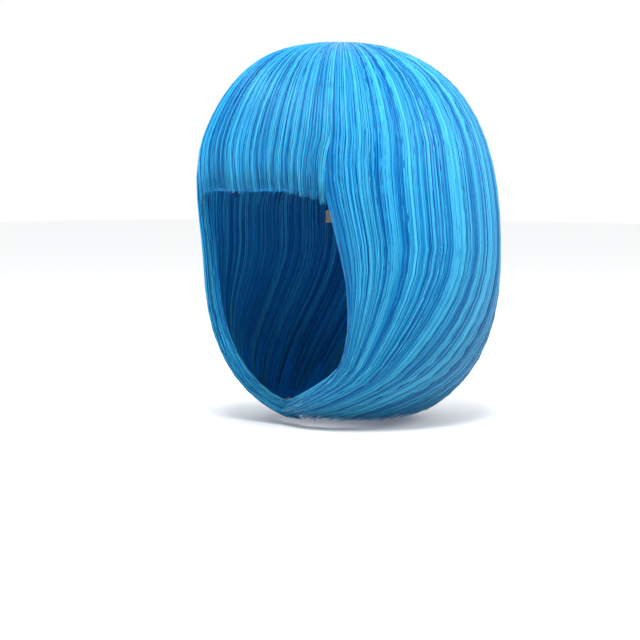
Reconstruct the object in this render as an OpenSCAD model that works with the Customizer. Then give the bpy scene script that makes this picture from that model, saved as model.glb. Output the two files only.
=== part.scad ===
// Costume wig: a short bob with a full fringe on a stretch cap.
// The face looks along -Y, +Z is up, and the wearer's left is +X.
// The origin is the centre of the head opening, level with the hairline.

/* [Cap] */
// Width of the cap over the ears
cap_width = 156; // [130:1:190]
// Depth of the cap from forehead to back of head
cap_depth = 198; // [165:1:240]
// Height of the cap's top above the hairline
cap_rise = 62; // [52:1:75]
// Depth of the nape edge below the hairline
nape_drop = 70; // [60:1:84]
// Height of the opening's edge over the ear, below the hairline
ear_drop = 12; // [8:1:16]
// Thickness of the stretch net
net_wall = 1; // [0.8:0.1:1.6]
// Height of the front, side and nape bands
band_height = 20; // [14:1:26]
// Thickness of the bands
band_wall = 1.2; // [0.8:0.1:1.8]

/* [Wefts] */
// Height of the sewn track of a weft
weft_height = 3; // [2:0.5:4]
// Thickness of a weft's track
weft_wall = 1.6; // [1:0.1:2]
// Height of the lowest weft above the cap's nape edge
weft_nape_gap = 10.5; // [8:0.5:16]
// Thickness of the lace ribs that the wefts are sewn to
rib_wall = 0.8; // [0.6:0.1:1.2]

/* [Ear tabs] */
// Length of the ear tab below the front band
tab_drop = 36; // [28:1:44]
// Width of the bendable stay in the tab
stay_width = 4; // [3:0.5:6]
// Length of the stay
stay_length = 24; // [16:1:28]
// Thickness of the stay
stay_wall = 1; // [0.6:0.1:1.5]

/* [Adjusters] */
// Width of the elastic strap
strap_width = 8; // [6:0.5:10]
// Thickness of the elastic
strap_wall = 0.9; // [0.6:0.1:1.3]
// Length of the elastic from its stitching to the hook's bar
strap_length = 40; // [34:1:46]
// Radius of the hook's bar
bar_radius = 0.9; // [0.7:0.1:1.2]
// Thickness of the hook's plate and prong
hook_wall = 1.2; // [0.8:0.1:1.6]
// Length of the hook's prong
prong_length = 8; // [6:0.5:9]
// How far a hooking loop stands off its tape
loop_rise = 1.8; // [1.4:0.1:2.4]
// Hooking loops on each tape
loop_count = 4; // [3:1:5]

/* [Hair] */
// Volume of the hair above the cap's top
crown_volume = 19; // [14:1:26]
// Volume of the hair at each side of the cap
side_volume = 29; // [26:1:36]
// Volume of the hair behind the cap
back_volume = 39; // [34:1:48]
// Volume of the fringe in front of the cap
fringe_volume = 26; // [23:1:32]
// Drop of the fringe's cut edge below the hairline
fringe_drop = 32; // [22:1:40]
// Drop of the hair's lowest edge below the hairline
hair_drop = 200; // [170:1:240]
// Width of the fringe at its cut edge
fringe_width = 130; // [110:2:140]
// Width of the face opening at the cheeks
face_width = 148; // [120:2:160]
// Thickness of the outer layer of hair
outer_layer = 7; // [5:0.5:8]
// Thickness of the under layer of hair
under_layer = 5; // [3:0.5:6]

/* [Hidden] */

hair_blue = "deepskyblue";
cap_blue = "dodgerblue";

gap = 0.4;             // clearance between sewn or lying layers
band_gap = 0.6;        // clearance between the net and the bands inside it
pin_gap = 0.08;        // running clearance round the hook's bar
cap_round = 2.2;       // superellipse exponent of the cap
cap_wide_z = -30;      // level at which the cap is widest
cap_tuck = 120;        // how far down the cap's form would close
cap_y = 7;             // centre of the cap behind the ear line
patch_angle = 24;      // edge of the crown patch, down from the pole
hair_round = 2.4;      // superellipse exponent of the hair
hair_wide_z = -80;     // level at which the hair is widest
hair_back_shift = 10;  // centre of the hair behind the cap's
crown_shift = 6;       // how far the crown point comes forward again
face_inset = 27;       // how much nearer the face the hair lies below the temples
hem_share = 0.5335;    // share of the widest section that the hem closes in to
part_z = 6;            // level at which the hanging hair leaves the cap
back_panel_width = 96; // width of the hanging hair at the back

hair_half = cap_width / 2 + side_volume;
hair_front = cap_depth / 2 + fringe_volume + hair_back_shift;
hair_back = cap_depth / 2 + back_volume - hair_back_shift;
hair_top = cap_rise + crown_volume;
// Angle down from the pole at which the hem lies, and how far down the form would close
hem_angle = 180 - asin(pow(hem_share, hair_round / 2));
hair_tuck = (hair_drop + hair_wide_z) / pow(-cos(hem_angle), 2 / hair_round);
weft_out = rib_wall + 2 * gap;              // weft's inner face, outside the net
hair_out = weft_out + weft_wall + gap;      // crown hair's inner face
band_out = -net_wall - band_gap;            // band's outer face
lining_out = band_out - band_wall;          // band's inner face
tape_out = lining_out - gap;                // outer face of what is sewn to a band
tape_wall = 0.8;

function smooth(a, b, x) = let (t = min(1, max(0, (x - a) / (b - a)))) t * t * (3 - 2 * t);
function share_at(h, n) = pow(max(0, 1 - pow(h, n)), 1 / n);
function steps(a, b, n) = [for (i = [0 : n]) a + (b - a) * i / n];

// A point of the cap at an azimuth from the front, and an angle down from the pole.
function cap_at(az, down, out) =
  let (
    r = pow(sin(down), 2 / cap_round),
    h = pow(abs(cos(down)), 2 / cap_round),
    z = cap_wide_z + (down < 90 ? (cap_rise - cap_wide_z + out) * h : -cap_tuck * h)
  )
  [(cap_width / 2 + out) * r * sin(az), cap_y - (cap_depth / 2 + out) * r * cos(az), z];
function cap_angle(z, out) =
  z > cap_wide_z
    ? acos(pow((z - cap_wide_z) / (cap_rise - cap_wide_z + out), cap_round / 2))
    : 180 - acos(pow((cap_wide_z - z) / cap_tuck, cap_round / 2));
function cap_on(az, z, out) = cap_at(az, cap_angle(z, out), out);

// Lower edge of the net: level at the front, over the ear, then down to the nape.
net_edge = function(az) let (a = abs(az > 180 ? az - 360 : az))
  -ear_drop * smooth(76, 92, a) - (nape_drop - ear_drop) * smooth(108, 150, a);

// A point of the hair's form at an azimuth and an angle down from the pole, inset from its outside.
function hair_centre_y(z) = cap_y + hair_back_shift - crown_shift * pow(max(0, z) / hair_top, 2);
function hair_z(down, inset) =
  let (h = pow(abs(cos(down)), 2 / hair_round))
  hair_wide_z + (down < 90 ? (hair_top - hair_wide_z - inset) * h : -(hair_tuck - inset) * h);
function hair_reach(az, z) =
  cos(az) > 0 ? hair_front - face_inset * (1 - smooth(-75, 0, z)) : hair_back;
function hair_at(az, down, inset) =
  let (r = pow(sin(down), 2 / hair_round), z = hair_z(down, inset))
  [(hair_half - inset) * r * sin(az), hair_centre_y(z) - (hair_reach(az, z) - inset) * r * cos(az), z];
function hair_angle(z, inset) =
  z > hair_wide_z
    ? acos(pow((z - hair_wide_z) / (hair_top - hair_wide_z - inset), hair_round / 2))
    : 180 - acos(pow((hair_wide_z - z) / (hair_tuck - inset), hair_round / 2));
// Azimuth, from the front, at which the hair's form is x from the middle.
function hair_azimuth(x, down, inset) =
  asin(min(1, x / ((hair_half - inset) * pow(sin(down), 2 / hair_round))));

// Half width of the face opening, which closes below the chin.
face_wide_z = hair_wide_z - 15;
function face_half(z) =
  z > face_wide_z
    ? fringe_width / 2 + (face_width - fringe_width) / 2 * smooth(-fringe_drop, face_wide_z, z)
    : max(gap / 2, face_width / 2 * share_at((face_wide_z - z) / (face_wide_z + hair_drop - 2), 2.2));

// Closed solid between two grids of points with the same rows and columns.
module slab(outer, inner, ring = false, pole = false) {
  rows = len(outer);
  cols = len(outer[0]);
  spans = ring ? cols : cols - 1;
  function at(j, i, side) = (side * rows + j) * cols + i % cols;
  skin = [
    for (j = [0 : rows - 2], i = [0 : spans - 1]) each [
      [at(j, i, 0), at(j, i + 1, 0), at(j + 1, i + 1, 0)],
      [at(j, i, 0), at(j + 1, i + 1, 0), at(j + 1, i, 0)],
      [at(j, i, 1), at(j + 1, i + 1, 1), at(j, i + 1, 1)],
      [at(j, i, 1), at(j + 1, i, 1), at(j + 1, i + 1, 1)]
    ]
  ];
  bottom = [
    for (i = [0 : spans - 1]) each [
      [at(rows - 1, i, 0), at(rows - 1, i + 1, 0), at(rows - 1, i + 1, 1)],
      [at(rows - 1, i, 0), at(rows - 1, i + 1, 1), at(rows - 1, i, 1)]
    ]
  ];
  top = pole
    ? [[for (i = [cols - 1 : -1 : 0]) at(0, i, 0)], [for (i = [0 : cols - 1]) at(0, i, 1)]]
    : [
        for (i = [0 : spans - 1]) each [
          [at(0, i + 1, 0), at(0, i, 0), at(0, i, 1)],
          [at(0, i + 1, 0), at(0, i, 1), at(0, i + 1, 1)]
        ]
      ];
  ends = ring
    ? []
    : [
        for (j = [0 : rows - 2]) each [
          [at(j, 0, 0), at(j + 1, 0, 0), at(j + 1, 0, 1)],
          [at(j, 0, 0), at(j + 1, 0, 1), at(j, 0, 1)],
          [at(j + 1, cols - 1, 0), at(j, cols - 1, 0), at(j, cols - 1, 1)],
          [at(j + 1, cols - 1, 0), at(j, cols - 1, 1), at(j + 1, cols - 1, 1)]
        ]
      ];
  polyhedron([for (row = outer) each row, for (row = inner) each row], concat(skin, bottom, top, ends));
}

// Strip on the cap between two azimuths; top and bottom are levels, as functions of the azimuth.
module cap_strip(az_from, az_to, cols, rows, out, wall, top, bottom) {
  grid = function(depth) [
    for (v = steps(0, 1, rows)) [
      for (az = steps(az_from, az_to, cols)) cap_on(az, top(az) * (1 - v) + bottom(az) * v, depth)
    ]
  ];
  slab(grid(out + wall), grid(out));
}

// ---- Cap ----

ring_az = [for (i = [0 : 59]) 6 * i];

module cap_net() color(cap_blue) {
  grid = function(out) [
    for (v = steps(0, 1, 14)) [
      for (az = ring_az) cap_at(az, patch_angle * (1 - v) + cap_angle(net_edge(az), out) * v, out)
    ]
  ];
  slab(grid(0), grid(-net_wall), ring = true);
}

module crown_patch() color(cap_blue) {
  grid = function(out) [for (down = steps(3, patch_angle + 3, 4)) [for (az = ring_az) cap_at(az, down, out)]];
  slab(grid(gap + rib_wall), grid(gap), ring = true, pole = true);
}

module band(az_from, az_to, cols)
  color(cap_blue)
    cap_strip(az_from, az_to, cols, 3, lining_out, band_wall,
              function(az) net_edge(az) + band_height, net_edge);

module front_band() band(-54, 54, 18);
module left_side_band() band(56, 122, 14);
module right_side_band() mirror([1, 0, 0]) left_side_band();
module nape_band() band(124, 236, 20);

// Rib of lace from the crown patch to the cap's edge.
rib_half_angle = 3;
module rib(az)
  color(cap_blue) {
    grid = function(out) [
      for (v = steps(0, 1, 8)) [
        for (a = [az - rib_half_angle, az, az + rib_half_angle])
          cap_at(a, (patch_angle + 4) * (1 - v) + cap_angle(net_edge(a), out) * v, out)
      ]
    ];
    slab(grid(gap + rib_wall), grid(gap));
  }
module left_rib(az) rib(az);
module right_rib(az) mirror([1, 0, 0]) rib(az);

// ---- Ear tabs ----

tab_az = [50, 76];
tab_top = -1.5;
tab_side_drop = 7;
stay_az = (tab_az[0] + tab_az[1]) / 2;

tab_edge = function(az)
  let (t = max(0, sin(180 * (az - tab_az[0]) / (tab_az[1] - tab_az[0]))))
  tab_top - tab_side_drop - (tab_drop - tab_side_drop) * pow(t, 0.7);

module left_ear_tab() color(cap_blue)
  cap_strip(tab_az[0], tab_az[1], 12, 6, lining_out, band_wall, function(az) tab_top, tab_edge);

// Flat bar with round ends in the middle of the tab.
module left_ear_stay() color("white") {
  top = cap_on(stay_az, tab_top - 2.5, tape_out);
  low = cap_on(stay_az, tab_top - 2.5 - stay_length, tape_out);
  inner = (norm([top.x, top.y - cap_y]) < norm([low.x, low.y - cap_y])) ? top : low;
  facing = atan2(cap_width * cos(stay_az), cap_depth * sin(stay_az));
  translate([inner.x, inner.y, top.z])
    rotate([0, 0, -facing])
      translate([-stay_wall, 0, 0])
        rotate([0, 90, 0])
          linear_extrude(stay_wall) union() {
            translate([stay_width / 2, -stay_width / 2]) square([stay_length - stay_width, stay_width]);
            translate([stay_width / 2, 0]) circle(d = stay_width, $fn = 32);
            translate([stay_length - stay_width / 2, 0]) circle(d = stay_width, $fn = 32);
          }
}

// ---- Wefts ----

module weft(z, az_from, az_to) color(cap_blue)
  cap_strip(az_from, az_to, ceil((az_to - az_from) / 8), 1, weft_out, weft_wall,
            function(az) z, function(az) z - weft_height);

// Back wefts step down evenly from near the crown to the nape, and start where the net's edge is clear below.
weft_top_z = cap_rise - 18;
back_weft_count = 10;
weft_pitch = (weft_top_z + nape_drop - weft_nape_gap) / (back_weft_count - 1);
weft_front_az = 40;
weft_edge_gap = 1.5;
function weft_from(z) =
  min([for (az = [weft_front_az : 176]) if (net_edge(az) <= z - weft_height - weft_edge_gap) az]);
module back_weft(k) {
  z = weft_top_z - weft_pitch * (k - 1);
  weft(z, weft_from(z), 360 - weft_from(z));
}
module fringe_weft(k) weft(weft_top_z - 3 - weft_pitch * k, -36, 36);

// ---- Adjusters ----
// They are drawn flat at the left: +X runs along the strap from its stitching to the hook,
// +Y points into the head's space, and the strap lies in the XZ plane.

anchor_az = 128;
adjust_z = -nape_drop + 17;
anchor_size = 10;
strap_start = 1;       // from the line it swings about
aim_az = 168;          // the strap hangs unhooked, along a chord towards a point here
aim_inset = 14;        // and this far inside the net
ring_outer = bar_radius + pin_gap + strap_wall;
bar_y = strap_wall + gap + strap_wall / 2;
plate_length = 12;
slot_height = 1.3;

// The cap narrows downwards, so the strap's lower edge sets its clearance.
anchor_low = cap_on(anchor_az, adjust_z - strap_width / 2, tape_out - tape_wall - gap);
anchor_point = [anchor_low.x, anchor_low.y, adjust_z];
aim_point = cap_on(aim_az, adjust_z, -aim_inset);
strap_heading = atan2(aim_point.y - anchor_point.y, aim_point.x - anchor_point.x);

module at_left_strap() translate(anchor_point) rotate([0, 0, strap_heading]) children();

module left_strap_anchor() color("ivory")
  cap_strip(anchor_az - 5, anchor_az + 2, 2, 1, tape_out - tape_wall, tape_wall,
            function(az) adjust_z + anchor_size / 2, function(az) adjust_z - anchor_size / 2);

// Stitched half of the elastic.
module left_strap() color("white")
  at_left_strap()
    translate([strap_start, 0, -strap_width / 2])
      cube([strap_length * 0.66 - strap_start, strap_wall, strap_width]);

// Free half of the elastic, which ends in a sewn ring round the hook's bar.
module left_strap_end() color("white")
  at_left_strap() {
    start = strap_length * 0.33;
    difference() {
      union() {
        translate([start, strap_wall + gap, -strap_width / 2])
          cube([strap_length - start, strap_wall, strap_width]);
        translate([strap_length, bar_y, -strap_width / 2])
          cylinder(r = ring_outer, h = strap_width, $fn = 48);
      }
      translate([strap_length, bar_y, -strap_width / 2 - 1])
        cylinder(r = bar_radius + pin_gap, h = strap_width + 2, $fn = 48);
    }
  }

// Moulded hook: bar and two arms, a plate, and a prong folded back towards the loops.
module left_hook() color("gainsboro")
  at_left_strap() translate([strap_length, bar_y, 0]) {
    arm = 1.2;
    half = strap_width / 2 + gap;
    plate_x = ring_outer + gap;
    end_x = plate_x + plate_length;
    prong_y = -hook_wall / 2 - slot_height - hook_wall;
    cylinder(r = bar_radius, h = 2 * (half + arm), center = true, $fn = 48);
    for (side = [-1, 1])
      translate([0, 0, side * (half + arm / 2)]) {
        cylinder(r = bar_radius + 0.3, h = arm, center = true, $fn = 48);
        translate([0, -hook_wall / 2, -arm / 2]) cube([plate_x + 1, hook_wall, arm]);
      }
    translate([plate_x, -hook_wall / 2, -half - arm]) cube([plate_length, hook_wall, 2 * (half + arm)]);
    translate([end_x - hook_wall, prong_y, -half / 2]) cube([hook_wall, slot_height + 2 * hook_wall, half]);
    translate([end_x - prong_length, prong_y, -half / 2]) cube([prong_length, hook_wall, half]);
  }

// Tape with a row of hooking loops, sewn to the nape band.
loop_az_from = 152;
loop_az_step = 3.4;
loop_az_to = loop_az_from + loop_az_step * (loop_count - 1);
module left_loop_tape() color("ivory") {
  cap_strip(loop_az_from - 3, loop_az_to + 3, 8, 1, tape_out - tape_wall, tape_wall,
            function(az) adjust_z + strap_width / 2 + 1, function(az) adjust_z - strap_width / 2 - 1);
  for (k = [0 : loop_count - 1]) {
    az = loop_az_from + loop_az_step * k;
    foot = cap_on(az, adjust_z, tape_out - tape_wall);
    next = cap_on(az + 1, adjust_z, tape_out - tape_wall);
    translate(foot)
      rotate([0, 0, atan2(next.y - foot.y, next.x - foot.x)])
        translate([-1.2, -0.3, -4])
          difference() {
            cube([2.4, loop_rise + 0.3, 8]);
            translate([-1, 0.5, 1]) cube([5, loop_rise - 0.9, 6]);
          }
  }
}

module care_label() color("white")
  cap_strip(172, 188, 4, 2, tape_out - 0.6, 0.6,
            function(az) net_edge(az) + band_height - 2, function(az) net_edge(az) + 4);

// ---- Hair ----

module crown_hair() color(hair_blue) {
  rows = 8;
  outer = [for (v = steps(0, 1, rows)) [
    for (az = ring_az) hair_at(az, 4 * (1 - v) + hair_angle(part_z, 0) * v, 0)]];
  inner = [for (v = steps(0, 1, rows)) [
    for (az = ring_az) cap_at(az, 4 * (1 - v) + cap_angle(part_z, hair_out) * v, hair_out)]];
  slab(outer, inner, ring = true, pole = true);
}

top_z = part_z - gap;

// Fringe: each row runs straight across between the same two planes.
fringe_half = fringe_width / 2 - gap / 2;
module fringe(inset, wall, cut_z) color(hair_blue) {
  grid = function(depth) [
    for (z = steps(top_z, cut_z, 5)) let (down = hair_angle(z, depth)) [
      for (x = steps(-fringe_half, fringe_half, 16))
        hair_at(sign(x) * hair_azimuth(abs(x), down, depth), down, depth)
    ]
  ];
  slab(grid(inset), grid(inset + wall));
}
module fringe_outer_hair() fringe(0, outer_layer, -fringe_drop);
module fringe_under_hair() fringe(outer_layer + gap / 2, under_layer - 1, -fringe_drop + 3);

// Side hair: from the face opening round to the back panel.
module left_side(inset, wall, end_angle) color(hair_blue) {
  grid = function(depth) [
    for (v = steps(0, 1, 16))
      let (
        down = hair_angle(top_z, depth) * (1 - v) + end_angle * v,
        z = hair_z(down, depth),
        x_face = z > -fringe_drop ? fringe_width / 2 + gap / 2 : face_half(z),
        az_face = hair_azimuth(x_face, down, depth),
        az_back = 180 - hair_azimuth(back_panel_width / 2 + gap / 2, down, depth)
      )
      [for (az = steps(az_face, az_back, 14)) hair_at(az, down, depth)]
  ];
  slab(grid(inset), grid(inset + wall));
}
under_hem_angle = hem_angle - 12;
module left_outer_hair() left_side(0, outer_layer, hem_angle);
module left_under_hair() left_side(outer_layer + gap, under_layer, under_hem_angle);

// Back hair: between two planes, rows running straight across.
back_half = back_panel_width / 2 - gap / 2;
module back(inset, wall, end_angle) color(hair_blue) {
  grid = function(depth) [
    for (v = steps(0, 1, 16))
      let (down = hair_angle(top_z, depth) * (1 - v) + end_angle * v)
      [
        for (x = steps(back_half, -back_half, 12))
          hair_at(180 - sign(x) * hair_azimuth(abs(x), down, depth), down, depth)
      ]
  ];
  slab(grid(inset), grid(inset + wall));
}
module back_outer_hair() back(0, outer_layer, hem_angle);
module back_under_hair() back(outer_layer + gap, under_layer + 2, under_hem_angle);

module mirrored() mirror([1, 0, 0]) children();

crown_hair();
fringe_outer_hair();
fringe_under_hair();
left_outer_hair();
left_under_hair();
mirrored() left_outer_hair();  // right_outer_hair
mirrored() left_under_hair();  // right_under_hair
back_outer_hair();
back_under_hair();
cap_net();
crown_patch();
front_band();
left_side_band();
right_side_band();
nape_band();
left_ear_tab();
mirrored() left_ear_tab();  // right_ear_tab
left_ear_stay();
mirrored() left_ear_stay();  // right_ear_stay
rib(180);  // back_centre_rib
left_rib(146);  // left_back_rib
right_rib(146);  // right_back_rib
left_rib(112);  // left_side_rib
right_rib(112);  // right_side_rib
left_rib(74);  // left_temple_rib
right_rib(74);  // right_temple_rib
fringe_weft(1);  // fringe_weft_1
fringe_weft(2);  // fringe_weft_2
fringe_weft(3);  // fringe_weft_3
back_weft(1);  // weft_1
back_weft(2);  // weft_2
back_weft(3);  // weft_3
back_weft(4);  // weft_4
back_weft(5);  // weft_5
back_weft(6);  // weft_6
back_weft(7);  // weft_7
back_weft(8);  // weft_8
back_weft(9);  // weft_9
back_weft(10);  // weft_10
left_loop_tape();
mirrored() left_loop_tape();  // right_loop_tape
left_strap_anchor();
mirrored() left_strap_anchor();  // right_strap_anchor
left_strap();
mirrored() left_strap();  // right_strap
left_strap_end();
mirrored() left_strap_end();  // right_strap_end
left_hook();
mirrored() left_hook();  // right_hook
care_label();
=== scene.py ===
"""Costume wig: a short bob with a full fringe, sewn in wefts on a stretch cap.

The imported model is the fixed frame. This script builds the fibre, the cap's cloth and its fittings
round it, in metres, with the face towards -Y, +Z up and the wearer's left at +X.
"""

from __future__ import annotations

import logging
import math
from collections.abc import Callable, Sequence
from dataclasses import dataclass, field
from enum import Enum

import bpy
import numpy as np
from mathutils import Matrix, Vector

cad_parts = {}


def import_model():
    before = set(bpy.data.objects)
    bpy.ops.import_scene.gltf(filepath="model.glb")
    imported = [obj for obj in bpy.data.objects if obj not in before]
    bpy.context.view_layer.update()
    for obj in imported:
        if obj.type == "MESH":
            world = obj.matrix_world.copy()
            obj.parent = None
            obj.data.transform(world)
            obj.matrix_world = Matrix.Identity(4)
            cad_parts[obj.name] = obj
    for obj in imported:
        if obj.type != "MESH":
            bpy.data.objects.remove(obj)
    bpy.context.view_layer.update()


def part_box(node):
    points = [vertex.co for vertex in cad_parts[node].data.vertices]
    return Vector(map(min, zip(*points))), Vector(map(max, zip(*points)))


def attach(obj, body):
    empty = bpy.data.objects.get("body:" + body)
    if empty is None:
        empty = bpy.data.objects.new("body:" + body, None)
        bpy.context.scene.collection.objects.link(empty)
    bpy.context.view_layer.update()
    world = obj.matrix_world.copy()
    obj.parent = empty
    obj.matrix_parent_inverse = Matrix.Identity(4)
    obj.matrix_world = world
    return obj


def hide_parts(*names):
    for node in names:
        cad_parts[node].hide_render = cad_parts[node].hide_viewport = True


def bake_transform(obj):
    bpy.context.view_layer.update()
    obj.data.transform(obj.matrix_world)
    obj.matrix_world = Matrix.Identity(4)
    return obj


LOG = logging.getLogger("wig")
MM = 0.001
GRAIN_SCALE = 900.0  # fine fibre grain of woven cloth, in cycles per metre
PILE_TUFT = 0.35 * MM
Array = np.ndarray


# ---------------------------------------------------------------------------------------------
# Helpers
# ---------------------------------------------------------------------------------------------


def smooth(low: float, high: float, value: Array | float) -> Array:
    """Smooth step.

    Args:
        low: value at which the result is 0.
        high: value at which the result is 1.
        value: what is stepped.

    Returns:
        The step, from 0 to 1.
    """
    share = np.clip((np.asarray(value, float) - low) / (high - low), 0.0, 1.0)
    return share * share * (3 - 2 * share)


def linear(code: str) -> tuple[float, float, float, float]:
    """Linear colour of an sRGB hex code.

    Args:
        code: six hex digits after a hash sign.

    Returns:
        Red, green, blue and an alpha of 1.
    """
    parts = [int(code[i : i + 2], 16) / 255 for i in (1, 3, 5)]
    return (*[p / 12.92 if p <= 0.04045 else ((p + 0.055) / 1.055) ** 2.4 for p in parts], 1.0)


def add_node(tree: bpy.types.NodeTree, kind: str, inputs: dict | None = None, **settings) -> bpy.types.Node:
    """Adds a node with its settings, values and links.

    Args:
        tree: the node tree it goes into.
        kind: the node's type name.
        inputs: input name or index to a value, or to the output socket that feeds it.
        **settings: the node's own properties.

    Returns:
        The new node.
    """
    node = tree.nodes.new(kind)
    for name, value in settings.items():
        setattr(node, name, value)
    for key, value in (inputs or {}).items():
        socket = node.inputs[key]
        if isinstance(value, bpy.types.NodeSocket):
            tree.links.new(value, socket)
        else:
            socket.default_value = value
    return node


def fresh_material(name: str) -> tuple[bpy.types.Material, bpy.types.NodeTree]:
    """An empty material and its node tree.

    Args:
        name: the material's name.

    Returns:
        The material and its tree.
    """
    material = bpy.data.materials.new(name)
    material.use_nodes = True
    material.node_tree.nodes.clear()
    return material, material.node_tree


def surfaced(tree: bpy.types.NodeTree, inputs: dict) -> None:
    """Ends a material's tree with its shader and its output."""
    surface = add_node(tree, "ShaderNodeBsdfPrincipled", inputs)
    add_node(tree, "ShaderNodeOutputMaterial", {0: surface.outputs[0]})


def attribute_of(tree: bpy.types.NodeTree, name: str) -> bpy.types.NodeSocket:
    """A stored attribute as a material's input."""
    return add_node(tree, "ShaderNodeAttribute", attribute_name=name).outputs["Fac"]


def ranged(
    tree: bpy.types.NodeTree, value: bpy.types.NodeSocket, source: tuple[float, float],
    target: tuple[object, object] = (0.0, 1.0), ease: str = "LINEAR",
) -> bpy.types.NodeSocket:
    """Maps a value from one range to another.

    Args:
        tree: the node tree.
        value: the value.
        source: the range that it comes from.
        target: the range that it goes to.
        ease: LINEAR or SMOOTHSTEP.

    Returns:
        The mapped value.
    """
    ends = {0: value, 1: source[0], 2: source[1], 3: target[0], 4: target[1]}
    return add_node(tree, "ShaderNodeMapRange", ends, interpolation_type=ease).outputs[0]


def ramped(
    tree: bpy.types.NodeTree, value: bpy.types.NodeSocket, stops: Sequence[tuple[float, str]]
) -> bpy.types.NodeSocket:
    """Colours a value.

    Args:
        tree: the node tree.
        value: the value, from 0 to 1.
        stops: each stop's place and sRGB hex code, in order.

    Returns:
        The colour.
    """
    ramp = add_node(tree, "ShaderNodeValToRGB", {0: value})
    elements = ramp.color_ramp.elements
    elements[0].position, elements[1].position = stops[0][0], stops[-1][0]
    for place, _ in stops[1:-1]:
        elements.new(place)
    for element, (_, code) in zip(elements, stops, strict=True):
        element.color = linear(code)
    return ramp.outputs[0]


def opened_tree(name: str, sizes: dict[str, float]) -> tuple[bpy.types.NodeTree, bpy.types.NodeOutputs]:
    """A Geometry Nodes tree with its named inputs.

    Args:
        name: the tree's name.
        sizes: each input's name and usual value; a whole number makes a whole-number input.

    Returns:
        The tree, and its inputs as sockets to link from.
    """
    tree = bpy.data.node_groups.new(name, "GeometryNodeTree")
    face = tree.interface
    face.new_socket("Geometry", in_out="INPUT", socket_type="NodeSocketGeometry")
    for key, value in sizes.items():
        kind = "NodeSocketInt" if isinstance(value, int) else "NodeSocketFloat"
        face.new_socket(key, in_out="INPUT", socket_type=kind).default_value = value
    face.new_socket("Material", in_out="INPUT", socket_type="NodeSocketMaterial")
    face.new_socket("Geometry", in_out="OUTPUT", socket_type="NodeSocketGeometry")
    return tree, tree.nodes.new("NodeGroupInput").outputs


def closed_tree(
    tree: bpy.types.NodeTree, given: bpy.types.NodeOutputs, geometry: bpy.types.NodeSocket
) -> None:
    """Ends a Geometry Nodes tree: smooth, real, with its material.

    Args:
        tree: the tree.
        given: the tree's inputs.
        geometry: what the tree has made.
    """
    smoothed = add_node(tree, "GeometryNodeSetShadeSmooth", {"Geometry": geometry})
    real = add_node(tree, "GeometryNodeRealizeInstances", {0: smoothed.outputs[0]})
    dressed = add_node(
        tree, "GeometryNodeSetMaterial", {"Geometry": real.outputs[0], "Material": given["Material"]}
    )
    add_node(tree, "NodeGroupOutput", {0: dressed.outputs[0]})


def new_mesh(
    name: str, points: Array, faces: Sequence[Sequence[int]], edges: Sequence = ()
) -> bpy.types.Object:
    """Links a mesh object at the origin.

    Args:
        name: the object's name.
        points: vertex positions in metres.
        faces: vertex indices of each face.
        edges: vertex indices of each loose edge.

    Returns:
        The object.
    """
    mesh = bpy.data.meshes.new(name)
    mesh.from_pydata(np.asarray(points, float).tolist(), edges, faces)
    mesh.validate()
    mesh.update()
    piece = bpy.data.objects.new(name, mesh)
    bpy.context.scene.collection.objects.link(piece)
    return piece


def store(piece: bpy.types.Object, name: str, kind: str, values: Array, domain: str = "POINT") -> None:
    """Stores a named attribute on a piece's mesh.

    Args:
        piece: the mesh object.
        name: the attribute's name.
        kind: FLOAT, INT or FLOAT_VECTOR.
        values: one value per element.
        domain: the mesh domain.
    """
    attribute = piece.data.attributes.new(name, kind, domain)
    slot_name = "vector" if kind == "FLOAT_VECTOR" else "value"
    number = np.int32 if kind == "INT" else np.float32
    attribute.data.foreach_set(slot_name, np.asarray(values, number).ravel())


def set_input(modifier: bpy.types.Modifier, name: str, value: object) -> None:
    """Sets a Geometry Nodes modifier's input by its socket's identifier.

    Args:
        modifier: the modifier.
        name: the input's name in the tree's interface.
        value: the new value.
    """
    for item in modifier.node_group.interface.items_tree:
        if item.item_type == "SOCKET" and item.in_out == "INPUT" and item.name == name:
            modifier[item.identifier] = value
            return
    raise KeyError(name)


def evaluated_mesh(piece: bpy.types.Object) -> bpy.types.Mesh:
    """A piece's mesh with its modifiers taken up."""
    graph = bpy.context.evaluated_depsgraph_get()
    return bpy.data.meshes.new_from_object(
        piece.evaluated_get(graph), preserve_all_data_layers=True, depsgraph=graph
    )


def grown(
    source: bpy.types.Object, tree: bpy.types.NodeTree, inputs: dict[str, object], name: str
) -> bpy.types.Object:
    """Runs a Geometry Nodes tree on a source object and keeps the result as a plain mesh.

    Args:
        source: the object that the tree reads; it is removed afterwards.
        tree: the tree.
        inputs: the tree's named inputs.
        name: the new piece's name.

    Returns:
        The new piece.
    """
    modifier = source.modifiers.new("grow", "NODES")
    modifier.node_group = tree
    for key, value in inputs.items():
        set_input(modifier, key, value)
    mesh = evaluated_mesh(source)
    mesh.name = name
    bpy.data.objects.remove(source, do_unlink=True)
    piece = bpy.data.objects.new(name, mesh)
    bpy.context.scene.collection.objects.link(piece)
    return piece


def corner_values(mesh: bpy.types.Mesh, name: str) -> Array:
    """A point attribute's value at each face corner.

    Args:
        mesh: the mesh.
        name: the attribute's name.

    Returns:
        One value per face corner.
    """
    attribute = mesh.attributes[name]
    values = np.zeros(len(mesh.vertices), np.int32 if attribute.data_type == "INT" else np.float32)
    attribute.data.foreach_get("value", values)
    corners = np.zeros(len(mesh.loops), np.int32)
    mesh.loops.foreach_get("vertex_index", corners)
    return values[corners].astype(float)


# ---------------------------------------------------------------------------------------------
# Finishes
# ---------------------------------------------------------------------------------------------


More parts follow.
